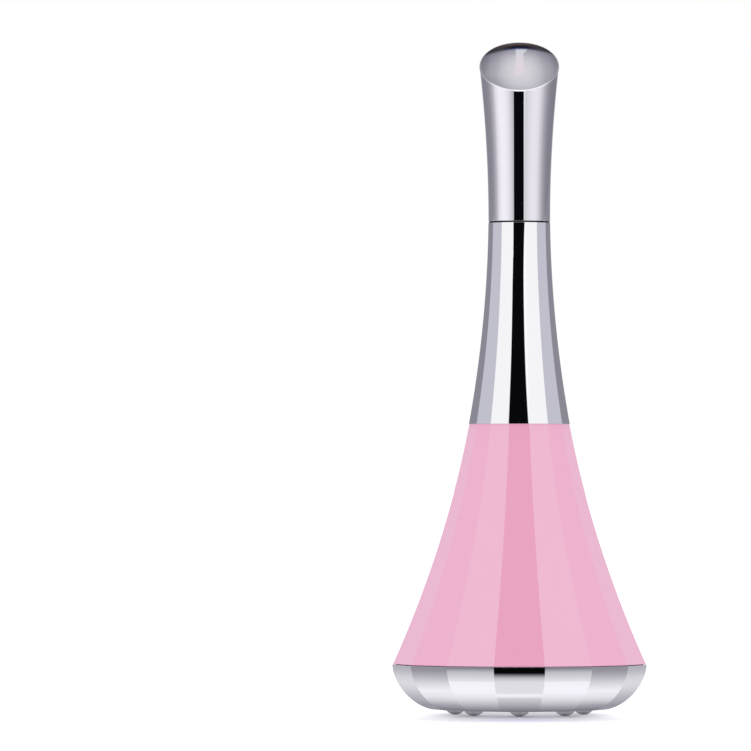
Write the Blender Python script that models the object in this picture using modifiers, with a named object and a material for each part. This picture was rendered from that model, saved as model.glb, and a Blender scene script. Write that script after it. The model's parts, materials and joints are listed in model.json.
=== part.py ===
"""Wand-shaped facial skincare device: screw cap, faceted neck, skirt and beaded base.

Metres, +Z up, the front faces -Y. The origin is on the axis, where the bead tips rest.
Across-flats halves (apothems) describe the sixteen-sided shells, radii the round pieces.
"""
import math

import bmesh
import bpy
from mathutils import Matrix, Vector

MM = 0.001
TURN = 2 * math.pi

# Fits shared by all pieces
GAP = 0.3 * MM                 # clearance between pieces that touch
CUT_OVERRUN = 0.5 * MM         # how far a cutter runs past a face
MERGE = 0.01 * MM              # merge distance of seams and poles

# The stack, from the bead tips up
BEAD_STAND = 1.3 * MM          # bead tips to the flat bottom
BASE_HEIGHT = 10.9 * MM        # flat bottom to the middle of the skirt seam
SKIRT_HEIGHT = 59.0 * MM       # skirt seam to neck seam
NECK_HEIGHT = 49.2 * MM        # neck seam to cap seam
CAP_AXIS_HEIGHT = 37.8 * MM    # cap seam to the slanted end, on the axis

BASE_FLAT_Z = BEAD_STAND
SKIRT_SEAM_Z = BASE_FLAT_Z + BASE_HEIGHT
NECK_SEAM_Z = SKIRT_SEAM_Z + SKIRT_HEIGHT
CAP_SEAM_Z = NECK_SEAM_Z + NECK_HEIGHT
CAP_END_Z = CAP_SEAM_Z + CAP_AXIS_HEIGHT

# The sixteen-sided shells
FACETS = 16
FACET_TURN = math.pi / FACETS  # turns a flat to the front
NECK_FOOT_HALF = 12.28 * MM
NECK_STRAIGHT_SHARE = 0.14     # how much of the flare is a straight taper
NECK_WALL = 1.0 * MM
NECK_LIP = 1.2 * MM            # thickness of the lip at the cap seam
NECK_CHAMFER = 0.3 * MM
SKIRT_INSET = 0.12 * MM        # of the skirt's top inside the neck's foot
SKIRT_FOOT_HALF = 30.95 * MM
SKIRT_STRAIGHT_SHARE = 0.59
SKIRT_WALL = 2.0 * MM
SKIRT_SPIGOT = 4.0 * MM        # collar of the skirt inside the neck
SPIGOT_WALL = 1.5 * MM
BASE_ROUNDING = 10.45 * MM     # from the rim in to the flat bottom
BASE_ROUND_POWER = 1.7         # a 2 would be an ellipse
BASE_WALL = 1.8 * MM
BASE_SPIGOT = 3.6 * MM         # collar of the base inside the skirt
SHELL_STATIONS = 9             # heights at which a flare is drawn
BOWL_STATIONS = 8
BOWL_INNER_STATIONS = 6
BOWL_INNER_START = math.pi / 8  # turn at which the bowl's inside meets the collar

# Gaskets
GASKET_WIDTH = 1.0 * MM
GASKET_THICK = 0.6 * MM
SEAL_WIDTH = 0.5 * MM
SEAL_HEIGHT = 1.0 * MM

# Facets of the round pieces
ROUND_STEPS = 32
SMALL_STEPS = 20
SCREW_STEPS = 8
BEVEL_ANGLE = math.radians(40.0)
SAME_PLANE = math.radians(0.5)

# Cap
CAP_MOUTH_WALL = 0.73 * MM     # outside the thread's grooves
CAP_FLARE = 2.06 * MM          # growth of the radius from the mouth to the end on the axis
CAP_END_SLANT = math.radians(34.0)
CAP_END_RISE = 0.8 * MM        # crown of the slanted end
CAP_BLANK = 10.0 * MM          # stock above the slanted end, cut away
CAP_EDGE = 0.3 * MM
CAP_STATIONS = 10
CAP_CAVITY_ROOF = 26.0 * MM    # cap seam to the roof of the hollow
DOME_STATIONS = 6
DOME_MARGIN_SHARE = 1.2        # of the end's half-length

# AAA cell
CELL_RADIUS = 5.25 * MM
CELL_ROOM = 0.2 * MM           # between the cell and the tube
CELL_LENGTH = 44.5 * MM
CELL_NUB_RADIUS = 1.9 * MM
CELL_NUB_HEIGHT = 1.0 * MM
CELL_EDGE = 0.4 * MM
CELL_NEGATIVE_RADIUS = 3.4 * MM
CELL_NEGATIVE_STEP = 0.25 * MM

# Battery tube and its thread
TUBE_WALL = 0.5 * MM
TUBE_STICKOUT = 12.6 * MM      # tube above the cap seam
TUBE_FLOOR = 0.8 * MM
TUBE_FLANGE_WIDTH = 1.2 * MM
TUBE_FLANGE_THICK = 1.0 * MM
TUBE_FLOOR_HOLE = 1.5 * MM
THREAD_STARTS = 3
THREAD_PITCH = 2.0 * MM
THREAD_LEAD = THREAD_STARTS * THREAD_PITCH
THREAD_DEPTH = 0.55 * MM
THREAD_ROOT_WIDTH = 0.8 * MM
THREAD_CREST_WIDTH = 0.35 * MM
THREAD_START = 2.4 * MM        # first turn above the cap seam
THREAD_LENGTH = 9.0 * MM
THREAD_EMBED = 0.2 * MM        # how deep the ridge is rooted in its wall
THREAD_STEPS = 16              # facets in one turn
SPACER_HEIGHT = 5.0 * MM

# Cell spring and contacts
SPRING_LENGTH = 11.0 * MM
SPRING_FOOT_RADIUS = 4.3 * MM
SPRING_TOP_RADIUS = 2.6 * MM
SPRING_WIRE = 0.7 * MM
SPRING_TURNS = 5
SPRING_FLAT_TURNS = 0.75       # closed turns at each end
SPRING_POINTS = 8              # points in one turn
PLATE_RADIUS = 4.9 * MM
PLATE_THICK = 0.4 * MM
CONTACT_THICK = 0.5 * MM
INSULATOR_THICK = 3.5 * MM
CONTACT_DIMPLE_RADIUS = 2.4 * MM
CONTACT_DIMPLE_STEP = 0.3 * MM

# Beads
BEAD_COUNT = 8
BEAD_INSET = 4.84 * MM         # bead's middle from the edge of the flat bottom
BEAD_HEAD_RADIUS = 2.45 * MM   # where the dome meets the flat bottom
BEAD_TIP_RADIUS = 0.35 * MM    # small flat that the device stands on
BEAD_SEAT_DEPTH = 0.6 * MM     # pocket in the base round the head
BEAD_STEM_RADIUS = 1.2 * MM
BEAD_RIVET_RADIUS = 2.1 * MM
BEAD_RIVET_THICK = 0.6 * MM
BEAD_STEPS = 12
BEAD_ARC_STATIONS = 5
CONTACT_RING_WIDTH = 4.0 * MM
CONTACT_RING_THICK = 0.5 * MM

# Bosses, chassis and screws
BOSS_COUNT = 4
BOSS_RADIUS = 2.6 * MM
BOSS_MARGIN = 1.4 * MM         # of the chassis plate outside a boss
BOSS_RISE = 1.65 * MM          # above the base's rim
PILOT_RADIUS = 0.9 * MM
PILOT_DEPTH = 7.0 * MM
SCREW_RADIUS = 0.75 * MM
SCREW_LENGTH = 6.5 * MM        # under the head
SCREW_HEAD_RADIUS = 1.7 * MM
SCREW_HEAD_HEIGHT = 1.2 * MM
SCREW_SOCKET_RADIUS = 0.6 * MM
SCREW_SOCKET_DEPTH = 0.6 * MM
CHASSIS_ROOM = 0.6 * MM        # inside the base's collar
CHASSIS_THICK = 1.8 * MM
RAIL_WIDTH = 3.4 * MM
RAIL_DEPTH = 4.4 * MM
RAIL_PROUD = 1.2 * MM          # above the board
CLAMP_PILOT_DEPTH = 3.4 * MM
CLAMP_SCREW_LENGTH = 3.0 * MM

# Circuit board and what stands on it
PCB_WIDTH = 19.0 * MM
PCB_HEADROOM = 20.6 * MM       # from the board's upper edge to the neck seam
PCB_THICK = 1.0 * MM
PCB_SETBACK = 4.0 * MM         # behind the axis
PCB_TONGUE = 1.2 * MM          # how far the board enters each rail
CHIP_SIZE = 6.0 * MM
CHIP_THICK = 1.2 * MM
CHIP_EDGE = 0.25 * MM
CHIP_LEGS = 4                  # at each side
CHIP_LEG_WIDTH = 0.5 * MM
CHIP_LEG_THICK = 0.3 * MM
CHIP_LEG_REACH = 1.1 * MM
CHIP_RISE_SHARE = 0.58         # of the board's height
INDUCTOR_RADIUS = 2.6 * MM
INDUCTOR_HEIGHT = 3.2 * MM
INDUCTOR_FLANGE = 0.6 * MM
INDUCTOR_WAIST = 2.0 * MM      # radius of the winding between the flanges
INDUCTOR_RISE_SHARE = 0.29
CAPACITOR_RADIUS = 2.0 * MM
CAPACITOR_HEIGHT = 5.4 * MM
CAPACITOR_EDGE = 0.3 * MM
CAPACITOR_CRIMP = 0.3 * MM     # depth and half-width of the groove above its foot
CAPACITOR_RISE_SHARE = 0.8
CAPACITOR_SPREAD = 4.2 * MM    # each side of the board's middle

# Vibration motor, its axis along X
MOTOR_RADIUS = 3.0 * MM
MOTOR_LENGTH = 10.0 * MM
MOTOR_FORWARD = 9.5 * MM       # in front of the axis
MOTOR_RISE = 5.6 * MM          # motor axis above the chassis plate
MOTOR_OFFSET = -3.0 * MM       # middle of the can
MOTOR_EDGE = 0.35 * MM
ENDBELL_RADIUS = 2.7 * MM
ENDBELL_THICK = 1.3 * MM
SHAFT_RADIUS = 0.5 * MM
SHAFT_INSIDE = 2.0 * MM
SHAFT_OUTSIDE = 5.6 * MM
WEIGHT_RADIUS = 2.7 * MM
WEIGHT_LENGTH = 4.0 * MM
WEIGHT_HUB_RADIUS = 1.35 * MM
WEIGHT_STANDOFF = 0.8 * MM
CRADLE_LENGTH = 8.0 * MM
CRADLE_WIDTH = 16.4 * MM
CLAMP_LENGTH = 4.4 * MM
CLAMP_WALL = 0.8 * MM
CLAMP_STATIONS = 11            # points of the arch over the can
CLAMP_SCREW_SPREAD = 6.2 * MM  # from the motor axis, across it

# Leads
LEAD_RADIUS = 0.5 * MM
LEAD_POINTS = 11
LEAD_STIFFNESS_SHARE = 0.4     # of the way that a lead keeps its direction at each end
LEAF_THICK = 0.4 * MM
LEAF_WIDTH = 3.0 * MM
LEAF_RISE = 1.4 * MM           # above the skirt's collar
LEAF_PROUD = 1.0 * MM          # above the tube's spacer
LEAF_STATIONS = 6
LEAF_TAB = 2.4 * MM            # inward reach of its soldering tab
SOLDER_INSET = 3.0 * MM        # from a board edge or a component to a joint
LEAD_SPREAD = 2.8 * MM         # between neighbouring joints
LEAD_HOLE_RADIUS = 1.6 * MM
DOWN = Vector((0, 0, -1))
UP = Vector((0, 0, 1))
LEFT = Vector((-1, 0, 0))

# Colours, roughness, metallic
CHROME = ((0.82, 0.82, 0.85), 0.06, 1.0)
PINK = ((0.86, 0.47, 0.62), 0.28, 0.0)
RUBBER = ((0.03, 0.03, 0.035), 0.7, 0.0)
STEEL = ((0.55, 0.55, 0.57), 0.3, 1.0)
BRASS = ((0.80, 0.62, 0.28), 0.3, 1.0)
NICKEL = ((0.66, 0.65, 0.62), 0.22, 1.0)
WHITE_ABS = ((0.85, 0.85, 0.83), 0.5, 0.0)
BLACK_ABS = ((0.04, 0.04, 0.045), 0.45, 0.0)
CELL_JACKET = ((0.16, 0.20, 0.24), 0.35, 0.0)
BOARD_GREEN = ((0.03, 0.22, 0.10), 0.45, 0.0)
TUNGSTEN = ((0.42, 0.41, 0.40), 0.4, 1.0)
LEAD_RED = ((0.55, 0.03, 0.03), 0.5, 0.0)
LEAD_BLACK = ((0.02, 0.02, 0.02), 0.5, 0.0)
LEAD_WHITE = ((0.80, 0.80, 0.78), 0.5, 0.0)


def clear_scene():
    for thing in list(bpy.data.objects):
        bpy.data.objects.remove(thing, do_unlink=True)


def collection(name):
    group = bpy.data.collections.new(name)
    bpy.context.scene.collection.children.link(group)
    return group


clear_scene()
PARTS = collection("facial_skincare_device")
CUTTERS = collection("cutters")


def material(name, look):
    colour, roughness, metallic = look
    paint = bpy.data.materials.new(name)
    paint.use_nodes = True
    shader = paint.node_tree.nodes["Principled BSDF"]
    shader.inputs["Base Color"].default_value = (*colour, 1.0)
    shader.inputs["Roughness"].default_value = roughness
    shader.inputs["Metallic"].default_value = metallic
    paint.diffuse_color = (*colour, 1.0)
    return paint


def place(name, mesh, look=None):
    """Link a mesh as a part with its own material, or as a cutter if it has no look."""
    thing = bpy.data.objects.new(name, mesh)
    if look is None:
        CUTTERS.objects.link(thing)
        thing.hide_render = True
        thing.display_type = "WIRE"
    else:
        PARTS.objects.link(thing)
        mesh.materials.append(material(name, look))
    return thing


def turned(name, profile, steps, look=None, smooth=True):
    """Turn a profile of (radius, height) pairs about Z. It runs down the outer side."""
    mesh = bpy.data.meshes.new(name)
    closed = profile[0][0] > 0
    last = len(profile) - 1
    edges = [(index, index + 1) for index in range(last)]
    if closed:
        edges.append((last, 0))
    mesh.from_pydata([(radius, 0, height) for radius, height in profile], edges, [])
    thing = place(name, mesh, look)
    screw = thing.modifiers.new("Turn", "SCREW")
    screw.axis = "Z"
    screw.angle = TURN
    screw.steps = steps
    screw.render_steps = steps
    screw.use_merge_vertices = True
    screw.merge_threshold = MERGE
    screw.use_smooth_shade = smooth
    return thing


def faceted(name, profile, look=None):
    """Turn a profile of (half across flats, height) pairs into a sixteen-sided shell."""
    corner = 1 / math.cos(FACET_TURN)
    thing = turned(name, [(half * corner, z) for half, z in profile], FACETS, look, False)
    thing.rotation_euler.z = FACET_TURN
    return thing


def ring_profile(inner, outer, low, high):
    return [(outer, high), (outer, low), (inner, low), (inner, high)]


def disc_profile(radius, low, high):
    return [(0, high), (radius, high), (radius, low), (0, low)]


def cylinder(name, radius, depth, centre, axis, steps, look=None):
    shape = bmesh.new()
    bmesh.ops.create_cone(shape, cap_ends=True, segments=steps, radius1=radius,
                          radius2=radius, depth=depth)
    quarter = math.pi / 2
    turns = {"X": Matrix.Rotation(quarter, 4, "Y"),
             "Y": Matrix.Rotation(quarter, 4, "X"),
             "Z": Matrix.Identity(4)}
    bmesh.ops.transform(shape, matrix=turns[axis], verts=shape.verts)
    mesh = bpy.data.meshes.new(name)
    shape.to_mesh(mesh)
    shape.free()
    thing = place(name, mesh, look)
    thing.location = centre
    return thing


def box(name, size, centre, look=None):
    shape = bmesh.new()
    bmesh.ops.create_cube(shape, size=1)
    bmesh.ops.scale(shape, vec=size, verts=shape.verts)
    mesh = bpy.data.meshes.new(name)
    shape.to_mesh(mesh)
    shape.free()
    thing = place(name, mesh, look)
    thing.location = centre
    return thing


def combine(thing, tool, operation):
    """Cut, join or intersect with a tool, and weld the seams that this leaves."""
    step = thing.modifiers.new(operation.title(), "BOOLEAN")
    step.operation = operation
    step.solver = "EXACT"
    step.object = tool
    weld = thing.modifiers.new("Weld", "WELD")
    weld.merge_threshold = MERGE


def cut(thing, tool):
    combine(thing, tool, "DIFFERENCE")


def join(thing, tool):
    combine(thing, tool, "UNION")


def bevel(thing, width):
    step = thing.modifiers.new("Edges", "BEVEL")
    step.width = width
    step.segments = 1
    step.limit_method = "ANGLE"
    step.angle_limit = BEVEL_ANGLE


def flatten(thing):
    """Turn the fans of triangles at a pole into single flat faces."""
    step = thing.modifiers.new("Flats", "DECIMATE")
    step.decimate_type = "DISSOLVE"
    step.angle_limit = SAME_PLANE


def settled_mesh(thing):
    """The mesh of an object with its modifiers run, as a new mesh in its own frame."""
    bpy.context.view_layer.update()
    graph = bpy.context.evaluated_depsgraph_get()
    return bpy.data.meshes.new_from_object(thing.evaluated_get(graph))


def replace_with(thing, mesh):
    """Swap an object's mesh for a settled one and drop the modifiers that made it."""
    thing.modifiers.clear()
    thing.data = mesh


def levels(low, high, count):
    return [low + (high - low) * index / (count - 1) for index in range(count)]


# Radii and half-widths that follow from the cell, the thread and the walls
TUBE_BORE_RADIUS = CELL_RADIUS + CELL_ROOM
TUBE_RADIUS = TUBE_BORE_RADIUS + TUBE_WALL
TUBE_CLEAR = TUBE_RADIUS + GAP
FLANGE_RADIUS = TUBE_RADIUS + TUBE_FLANGE_WIDTH
THREAD_CREST = TUBE_RADIUS + THREAD_DEPTH
CAP_MOUTH_RADIUS = THREAD_CREST + GAP + CAP_MOUTH_WALL
NECK_TOP_HALF = CAP_MOUTH_RADIUS
SKIRT_TOP_HALF = NECK_FOOT_HALF - SKIRT_INSET
BASE_RIM_HALF = SKIRT_FOOT_HALF
BASE_FLAT_HALF = BASE_RIM_HALF - BASE_ROUNDING
BEAD_RING_RADIUS = BASE_FLAT_HALF - BEAD_INSET


def neck_half(z):
    down = (CAP_SEAM_Z - z) / NECK_HEIGHT
    flare = NECK_STRAIGHT_SHARE * down + (1 - NECK_STRAIGHT_SHARE) * down ** 2
    return NECK_TOP_HALF + (NECK_FOOT_HALF - NECK_TOP_HALF) * flare


def skirt_half(z):
    down = (NECK_SEAM_Z - z) / SKIRT_HEIGHT
    flare = SKIRT_STRAIGHT_SHARE * down + (1 - SKIRT_STRAIGHT_SHARE) * down ** 2
    return SKIRT_TOP_HALF + (SKIRT_FOOT_HALF - SKIRT_TOP_HALF) * flare


def cap_radius(z):
    up = (z - CAP_SEAM_Z) / CAP_AXIS_HEIGHT
    return CAP_MOUTH_RADIUS + CAP_FLARE * up ** 2


def neck_inner_half(z):
    return neck_half(z) - NECK_WALL


def skirt_inner_half(z):
    return skirt_half(z) - SKIRT_WALL


def base_spigot_half(z):
    return skirt_inner_half(z) - GAP


# Heights that several pieces share, and the chassis that follows from them
TUBE_TOP_Z = CAP_SEAM_Z + TUBE_STICKOUT
THREAD_FOOT_Z = CAP_SEAM_Z + THREAD_START
CAP_MOUTH_Z = CAP_SEAM_Z + GAP / 2
CAP_ROOF_Z = CAP_SEAM_Z + CAP_CAVITY_ROOF
CONTACT_TOP_Z = CAP_ROOF_Z - 2 * GAP - INSULATOR_THICK
CELL_TOP_Z = CONTACT_TOP_Z - CONTACT_THICK - GAP
CELL_FOOT_Z = CELL_TOP_Z - CELL_LENGTH
SPRING_FOOT_Z = CELL_FOOT_Z - GAP - SPRING_LENGTH
PLATE_TOP_Z = SPRING_FOOT_Z - GAP
TUBE_FLOOR_Z = PLATE_TOP_Z - PLATE_THICK - GAP
TUBE_FOOT_Z = TUBE_FLOOR_Z - TUBE_FLOOR
SPACER_FOOT_Z = TUBE_FOOT_Z + TUBE_FLANGE_THICK + GAP
SPACER_TOP_Z = SPACER_FOOT_Z + SPACER_HEIGHT
NECK_FOOT_Z = NECK_SEAM_Z + GAP / 2
SKIRT_SHOULDER_Z = NECK_SEAM_Z - GAP / 2
SKIRT_COLLAR_Z = SKIRT_SHOULDER_Z + SKIRT_SPIGOT
LEAF_FOOT_Z = SKIRT_COLLAR_Z + LEAF_RISE
LEAF_TOP_Z = SPACER_TOP_Z + LEAF_PROUD
SKIRT_FOOT_Z = SKIRT_SEAM_Z + GAP / 2
BASE_RIM_Z = SKIRT_SEAM_Z - GAP / 2
BASE_FLOOR_Z = BASE_FLAT_Z + BASE_WALL
BOWL_HEIGHT = BASE_RIM_Z - BASE_FLAT_Z
BASE_COLLAR_Z = BASE_RIM_Z + BASE_SPIGOT
BOSS_TOP_Z = BASE_RIM_Z + BOSS_RISE
CHASSIS_FOOT_Z = BOSS_TOP_Z + GAP
CHASSIS_TOP_Z = CHASSIS_FOOT_Z + CHASSIS_THICK
CONTACT_RING_Z = BASE_FLOOR_Z + GAP
CONTACT_RING_TOP_Z = CONTACT_RING_Z + CONTACT_RING_THICK
CHASSIS_RADIUS = base_spigot_half(BASE_COLLAR_Z) - SPIGOT_WALL - CHASSIS_ROOM
BOSS_CIRCLE_RADIUS = CHASSIS_RADIUS - BOSS_MARGIN - BOSS_RADIUS
PCB_FOOT_Z = CHASSIS_TOP_Z + GAP
PCB_TOP_Z = NECK_SEAM_Z - PCB_HEADROOM
PCB_HEIGHT = PCB_TOP_Z - PCB_FOOT_Z
RAIL_TOP_Z = PCB_TOP_Z + RAIL_PROUD
MOTOR_Z = CHASSIS_TOP_Z + MOTOR_RISE


def neck_shell():
    top = CAP_SEAM_Z - GAP / 2
    lip_foot = top - NECK_LIP
    outer = [(neck_half(top) - NECK_CHAMFER, top)]
    outer += [(neck_half(z), z) for z in levels(top - NECK_CHAMFER, NECK_FOOT_Z, SHELL_STATIONS)]
    inner = [(neck_inner_half(z), z) for z in levels(NECK_FOOT_Z, lip_foot, SHELL_STATIONS)]
    lip = [(TUBE_CLEAR, lip_foot), (TUBE_CLEAR, top)]
    return faceted("neck_shell", outer + inner + lip, CHROME)


def skirt_shell():
    collar = [(neck_inner_half(z) - GAP, z) for z in (SKIRT_COLLAR_Z, SKIRT_SHOULDER_Z)]
    outer = [(skirt_half(z), z) for z in levels(SKIRT_SHOULDER_Z, SKIRT_FOOT_Z, SHELL_STATIONS)]
    inner = [(skirt_inner_half(z), z)
             for z in levels(SKIRT_FOOT_Z, SKIRT_SHOULDER_Z, SHELL_STATIONS)[:-1]]
    bore = [(half - SPIGOT_WALL, z) for half, z in reversed(collar)]
    return faceted("skirt_shell", collar + outer + inner + bore, PINK)


def bowl(flat_half, rim_half, depth, first_turn, count):
    """Half-widths and heights of the rounded bowl, from its rim to its flat."""
    power = 2 / BASE_ROUND_POWER
    points = []
    for turn in levels(first_turn, math.pi / 2, count):
        reach = max(math.cos(turn), 0.0) ** power
        drop = math.sin(turn) ** power
        points.append((flat_half + (rim_half - flat_half) * reach, BASE_RIM_Z - depth * drop))
    return points


def base_shell():
    rabbet = BASE_RIM_Z - GASKET_THICK - GAP
    groove = base_spigot_half(SKIRT_FOOT_Z) + 2 * GAP + GASKET_WIDTH
    outer = bowl(BASE_FLAT_HALF, BASE_RIM_HALF, BOWL_HEIGHT, 0.0, BOWL_STATIONS)
    inner = bowl(BASE_FLAT_HALF - BASE_WALL / 2, BASE_RIM_HALF - BASE_WALL,
                 BOWL_HEIGHT - BASE_WALL, BOWL_INNER_START, BOWL_INNER_STATIONS)
    collar = [(base_spigot_half(z) - SPIGOT_WALL, z) for z in (BASE_RIM_Z, BASE_COLLAR_Z)]
    collar += [(base_spigot_half(z), z) for z in (BASE_COLLAR_Z, SKIRT_FOOT_Z)]
    collar += [(base_spigot_half(SKIRT_FOOT_Z), rabbet), (groove, rabbet), (groove, BASE_RIM_Z)]
    profile = [(0, BASE_FLOOR_Z)] + inner[::-1] + collar + outer + [(0, BASE_FLAT_Z)]
    shell = faceted("base_shell", profile, CHROME)
    flatten(shell)
    seat_z = BASE_FLAT_Z + BEAD_SEAT_DEPTH
    seat = BEAD_HEAD_RADIUS + GAP
    hole = BEAD_STEM_RADIUS + GAP
    high = BASE_FLOOR_Z + CUT_OVERRUN
    low = BASE_FLAT_Z - CUT_OVERRUN
    socket = [(0, high), (hole, high), (hole, seat_z), (seat, seat_z), (seat, low), (0, low)]
    for number, angle in enumerate(bead_angles(), 1):
        tool = turned(f"bead_socket_{number}", socket, BEAD_STEPS)
        tool.location = around(BEAD_RING_RADIUS, angle)
        cut(shell, tool)
    for number, angle in enumerate(boss_angles(), 1):
        low = BASE_FLOOR_Z - CUT_OVERRUN
        post = turned(f"boss_{number}", disc_profile(BOSS_RADIUS, low, BOSS_TOP_Z), BEAD_STEPS)
        post.location = around(BOSS_CIRCLE_RADIUS, angle)
        post.rotation_euler.z = angle
        join(shell, post)
        pilot = turned(f"pilot_{number}",
                       disc_profile(PILOT_RADIUS, BOSS_TOP_Z - PILOT_DEPTH, BOSS_TOP_Z + CUT_OVERRUN),
                       SCREW_STEPS)
        pilot.location = around(BOSS_CIRCLE_RADIUS, angle)
        pilot.rotation_euler.z = angle
        cut(shell, pilot)
    return shell


def around(radius, angle, z=0.0):
    return Vector((radius * math.cos(angle), radius * math.sin(angle), z))


def bead_angles():
    return [TURN * index / BEAD_COUNT - math.pi / 2 for index in range(BEAD_COUNT)]


def boss_angles():
    half_bead = TURN / BEAD_COUNT / 2
    return [TURN * index / BOSS_COUNT + half_bead for index in range(BOSS_COUNT)]


def base_gasket():
    inner = base_spigot_half(SKIRT_FOOT_Z) + GAP
    low = BASE_RIM_Z - GASKET_THICK
    profile = ring_profile(inner, inner + GASKET_WIDTH, low, BASE_RIM_Z)
    return faceted("base_gasket", profile, RUBBER)


def bead_profile():
    """A domed stud with a small flat tip, its stem and the rivet head over the contact ring."""
    head_top = BASE_FLAT_Z + BEAD_SEAT_DEPTH - GAP
    rivet_low = CONTACT_RING_TOP_Z + GAP
    rivet_top = rivet_low + BEAD_RIVET_THICK
    centre = (BEAD_HEAD_RADIUS ** 2 + BEAD_STAND ** 2 - BEAD_TIP_RADIUS ** 2) / (2 * BEAD_STAND)
    sphere = math.hypot(BEAD_TIP_RADIUS, centre)
    widest = math.atan2(BEAD_HEAD_RADIUS, centre - BEAD_STAND)
    tip = math.atan2(BEAD_TIP_RADIUS, centre)
    dome = [(sphere * math.sin(turn), centre - sphere * math.cos(turn))
            for turn in levels(widest, tip, BEAD_ARC_STATIONS)]
    stem = [(0, rivet_top), (BEAD_RIVET_RADIUS, rivet_top), (BEAD_RIVET_RADIUS, rivet_low),
            (BEAD_STEM_RADIUS, rivet_low), (BEAD_STEM_RADIUS, head_top),
            (BEAD_HEAD_RADIUS, head_top)]
    return stem + dome + [(0, dome[-1][1])]


def beads():
    for number, angle in enumerate(bead_angles(), 1):
        bead = turned(f"bead_{number}", bead_profile(), BEAD_STEPS, STEEL)
        bead.location = around(BEAD_RING_RADIUS, angle)


def bead_contact_ring():
    half = CONTACT_RING_WIDTH / 2
    ring = turned("bead_contact_ring",
                  ring_profile(BEAD_RING_RADIUS - half, BEAD_RING_RADIUS + half,
                               CONTACT_RING_Z, CONTACT_RING_TOP_Z), SMALL_STEPS, BRASS)
    hole = disc_profile(BEAD_STEM_RADIUS + GAP, CONTACT_RING_Z - CUT_OVERRUN,
                        CONTACT_RING_TOP_Z + CUT_OVERRUN)
    for number, angle in enumerate(bead_angles(), 1):
        tool = turned(f"ring_hole_{number}", hole, SCREW_STEPS)
        tool.location = around(BEAD_RING_RADIUS, angle)
        cut(ring, tool)
    return ring


def thread_half_width(radius):
    """Half the width of the male ridge at a radius."""
    taper = (THREAD_ROOT_WIDTH - THREAD_CREST_WIDTH) / 2 / THREAD_DEPTH
    return THREAD_ROOT_WIDTH / 2 - taper * (radius - TUBE_RADIUS)


def helical_ridge(name, foot_z, length, allowance):
    """One start of the thread as a closed ridge; an allowance makes the groove's cutter."""
    flank = math.atan2((THREAD_ROOT_WIDTH - THREAD_CREST_WIDTH) / 2, THREAD_DEPTH)
    spread = allowance / math.cos(flank)
    inner = TUBE_RADIUS - THREAD_EMBED
    outer = THREAD_CREST + allowance
    wide = thread_half_width(inner) + spread
    narrow = thread_half_width(outer) + spread
    mesh = bpy.data.meshes.new(name)
    outline = [(outer, 0, foot_z + narrow), (outer, 0, foot_z - narrow),
               (inner, 0, foot_z - wide), (inner, 0, foot_z + wide)]
    mesh.from_pydata(outline, [(0, 1), (1, 2), (2, 3), (3, 0)], [])
    ridge = place(name, mesh)
    turns = length / THREAD_LEAD
    screw = ridge.modifiers.new("Sweep", "SCREW")
    screw.axis = "Z"
    screw.angle = TURN * turns
    screw.screw_offset = length
    screw.steps = round(THREAD_STEPS * turns)
    screw.render_steps = screw.steps
    shape = bmesh.new()
    shape.from_mesh(settled_mesh(ridge))
    bmesh.ops.remove_doubles(shape, verts=shape.verts, dist=MERGE)
    bmesh.ops.holes_fill(shape, edges=[edge for edge in shape.edges if edge.is_boundary])
    bmesh.ops.recalc_face_normals(shape, faces=shape.faces)
    swept = bpy.data.meshes.new(name)
    shape.to_mesh(swept)
    shape.free()
    replace_with(ridge, swept)
    return ridge


def thread_starts(name, foot_z, length, allowance):
    """Every start of the thread. The phase follows from the height where it begins."""
    phase = TURN * (foot_z - THREAD_FOOT_Z) / THREAD_LEAD
    ridges = []
    for start in range(THREAD_STARTS):
        ridge = helical_ridge(f"{name}_{start + 1}", foot_z, length, allowance)
        ridge.rotation_euler.z = phase + TURN * start / THREAD_STARTS
        ridges.append(ridge)
    return ridges


def battery_tube():
    """Drawn tube with a floor, a flange below the spacer and the male thread on top."""
    flange_top = TUBE_FOOT_Z + TUBE_FLANGE_THICK
    profile = [(TUBE_FLOOR_HOLE, TUBE_FLOOR_Z), (TUBE_BORE_RADIUS, TUBE_FLOOR_Z),
               (TUBE_BORE_RADIUS, TUBE_TOP_Z), (TUBE_RADIUS, TUBE_TOP_Z),
               (TUBE_RADIUS, flange_top), (FLANGE_RADIUS, flange_top),
               (FLANGE_RADIUS, TUBE_FOOT_Z), (TUBE_FLOOR_HOLE, TUBE_FOOT_Z)]
    tube = turned("battery_tube", profile, ROUND_STEPS, NICKEL)
    for ridge in thread_starts("male_start", THREAD_FOOT_Z, THREAD_LENGTH, 0.0):
        join(tube, ridge)
    return tube


def leaf_inner(z):
    """Where the hand electrode's leaf has its inner face, behind the axis."""
    return neck_inner_half(z) - GAP - LEAF_THICK


def tube_spacer():
    """Ring between tube and neck, with a slot at the rear that the electrode's leaf passes."""
    profile = [(neck_inner_half(z) - GAP, z) for z in (SPACER_TOP_Z, SPACER_FOOT_Z)]
    profile += [(TUBE_CLEAR, z) for z in (SPACER_FOOT_Z, SPACER_TOP_Z)]
    spacer = faceted("tube_spacer", profile, WHITE_ABS)
    low = leaf_inner(SPACER_TOP_Z) - GAP
    high = neck_half(SPACER_FOOT_Z)
    slot = box("leaf_slot", (LEAF_WIDTH + 2 * GAP, high - low, SPACER_HEIGHT + 2 * CUT_OVERRUN),
               (0, (low + high) / 2, (SPACER_FOOT_Z + SPACER_TOP_Z) / 2))
    cut(spacer, slot)
    return spacer


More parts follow.
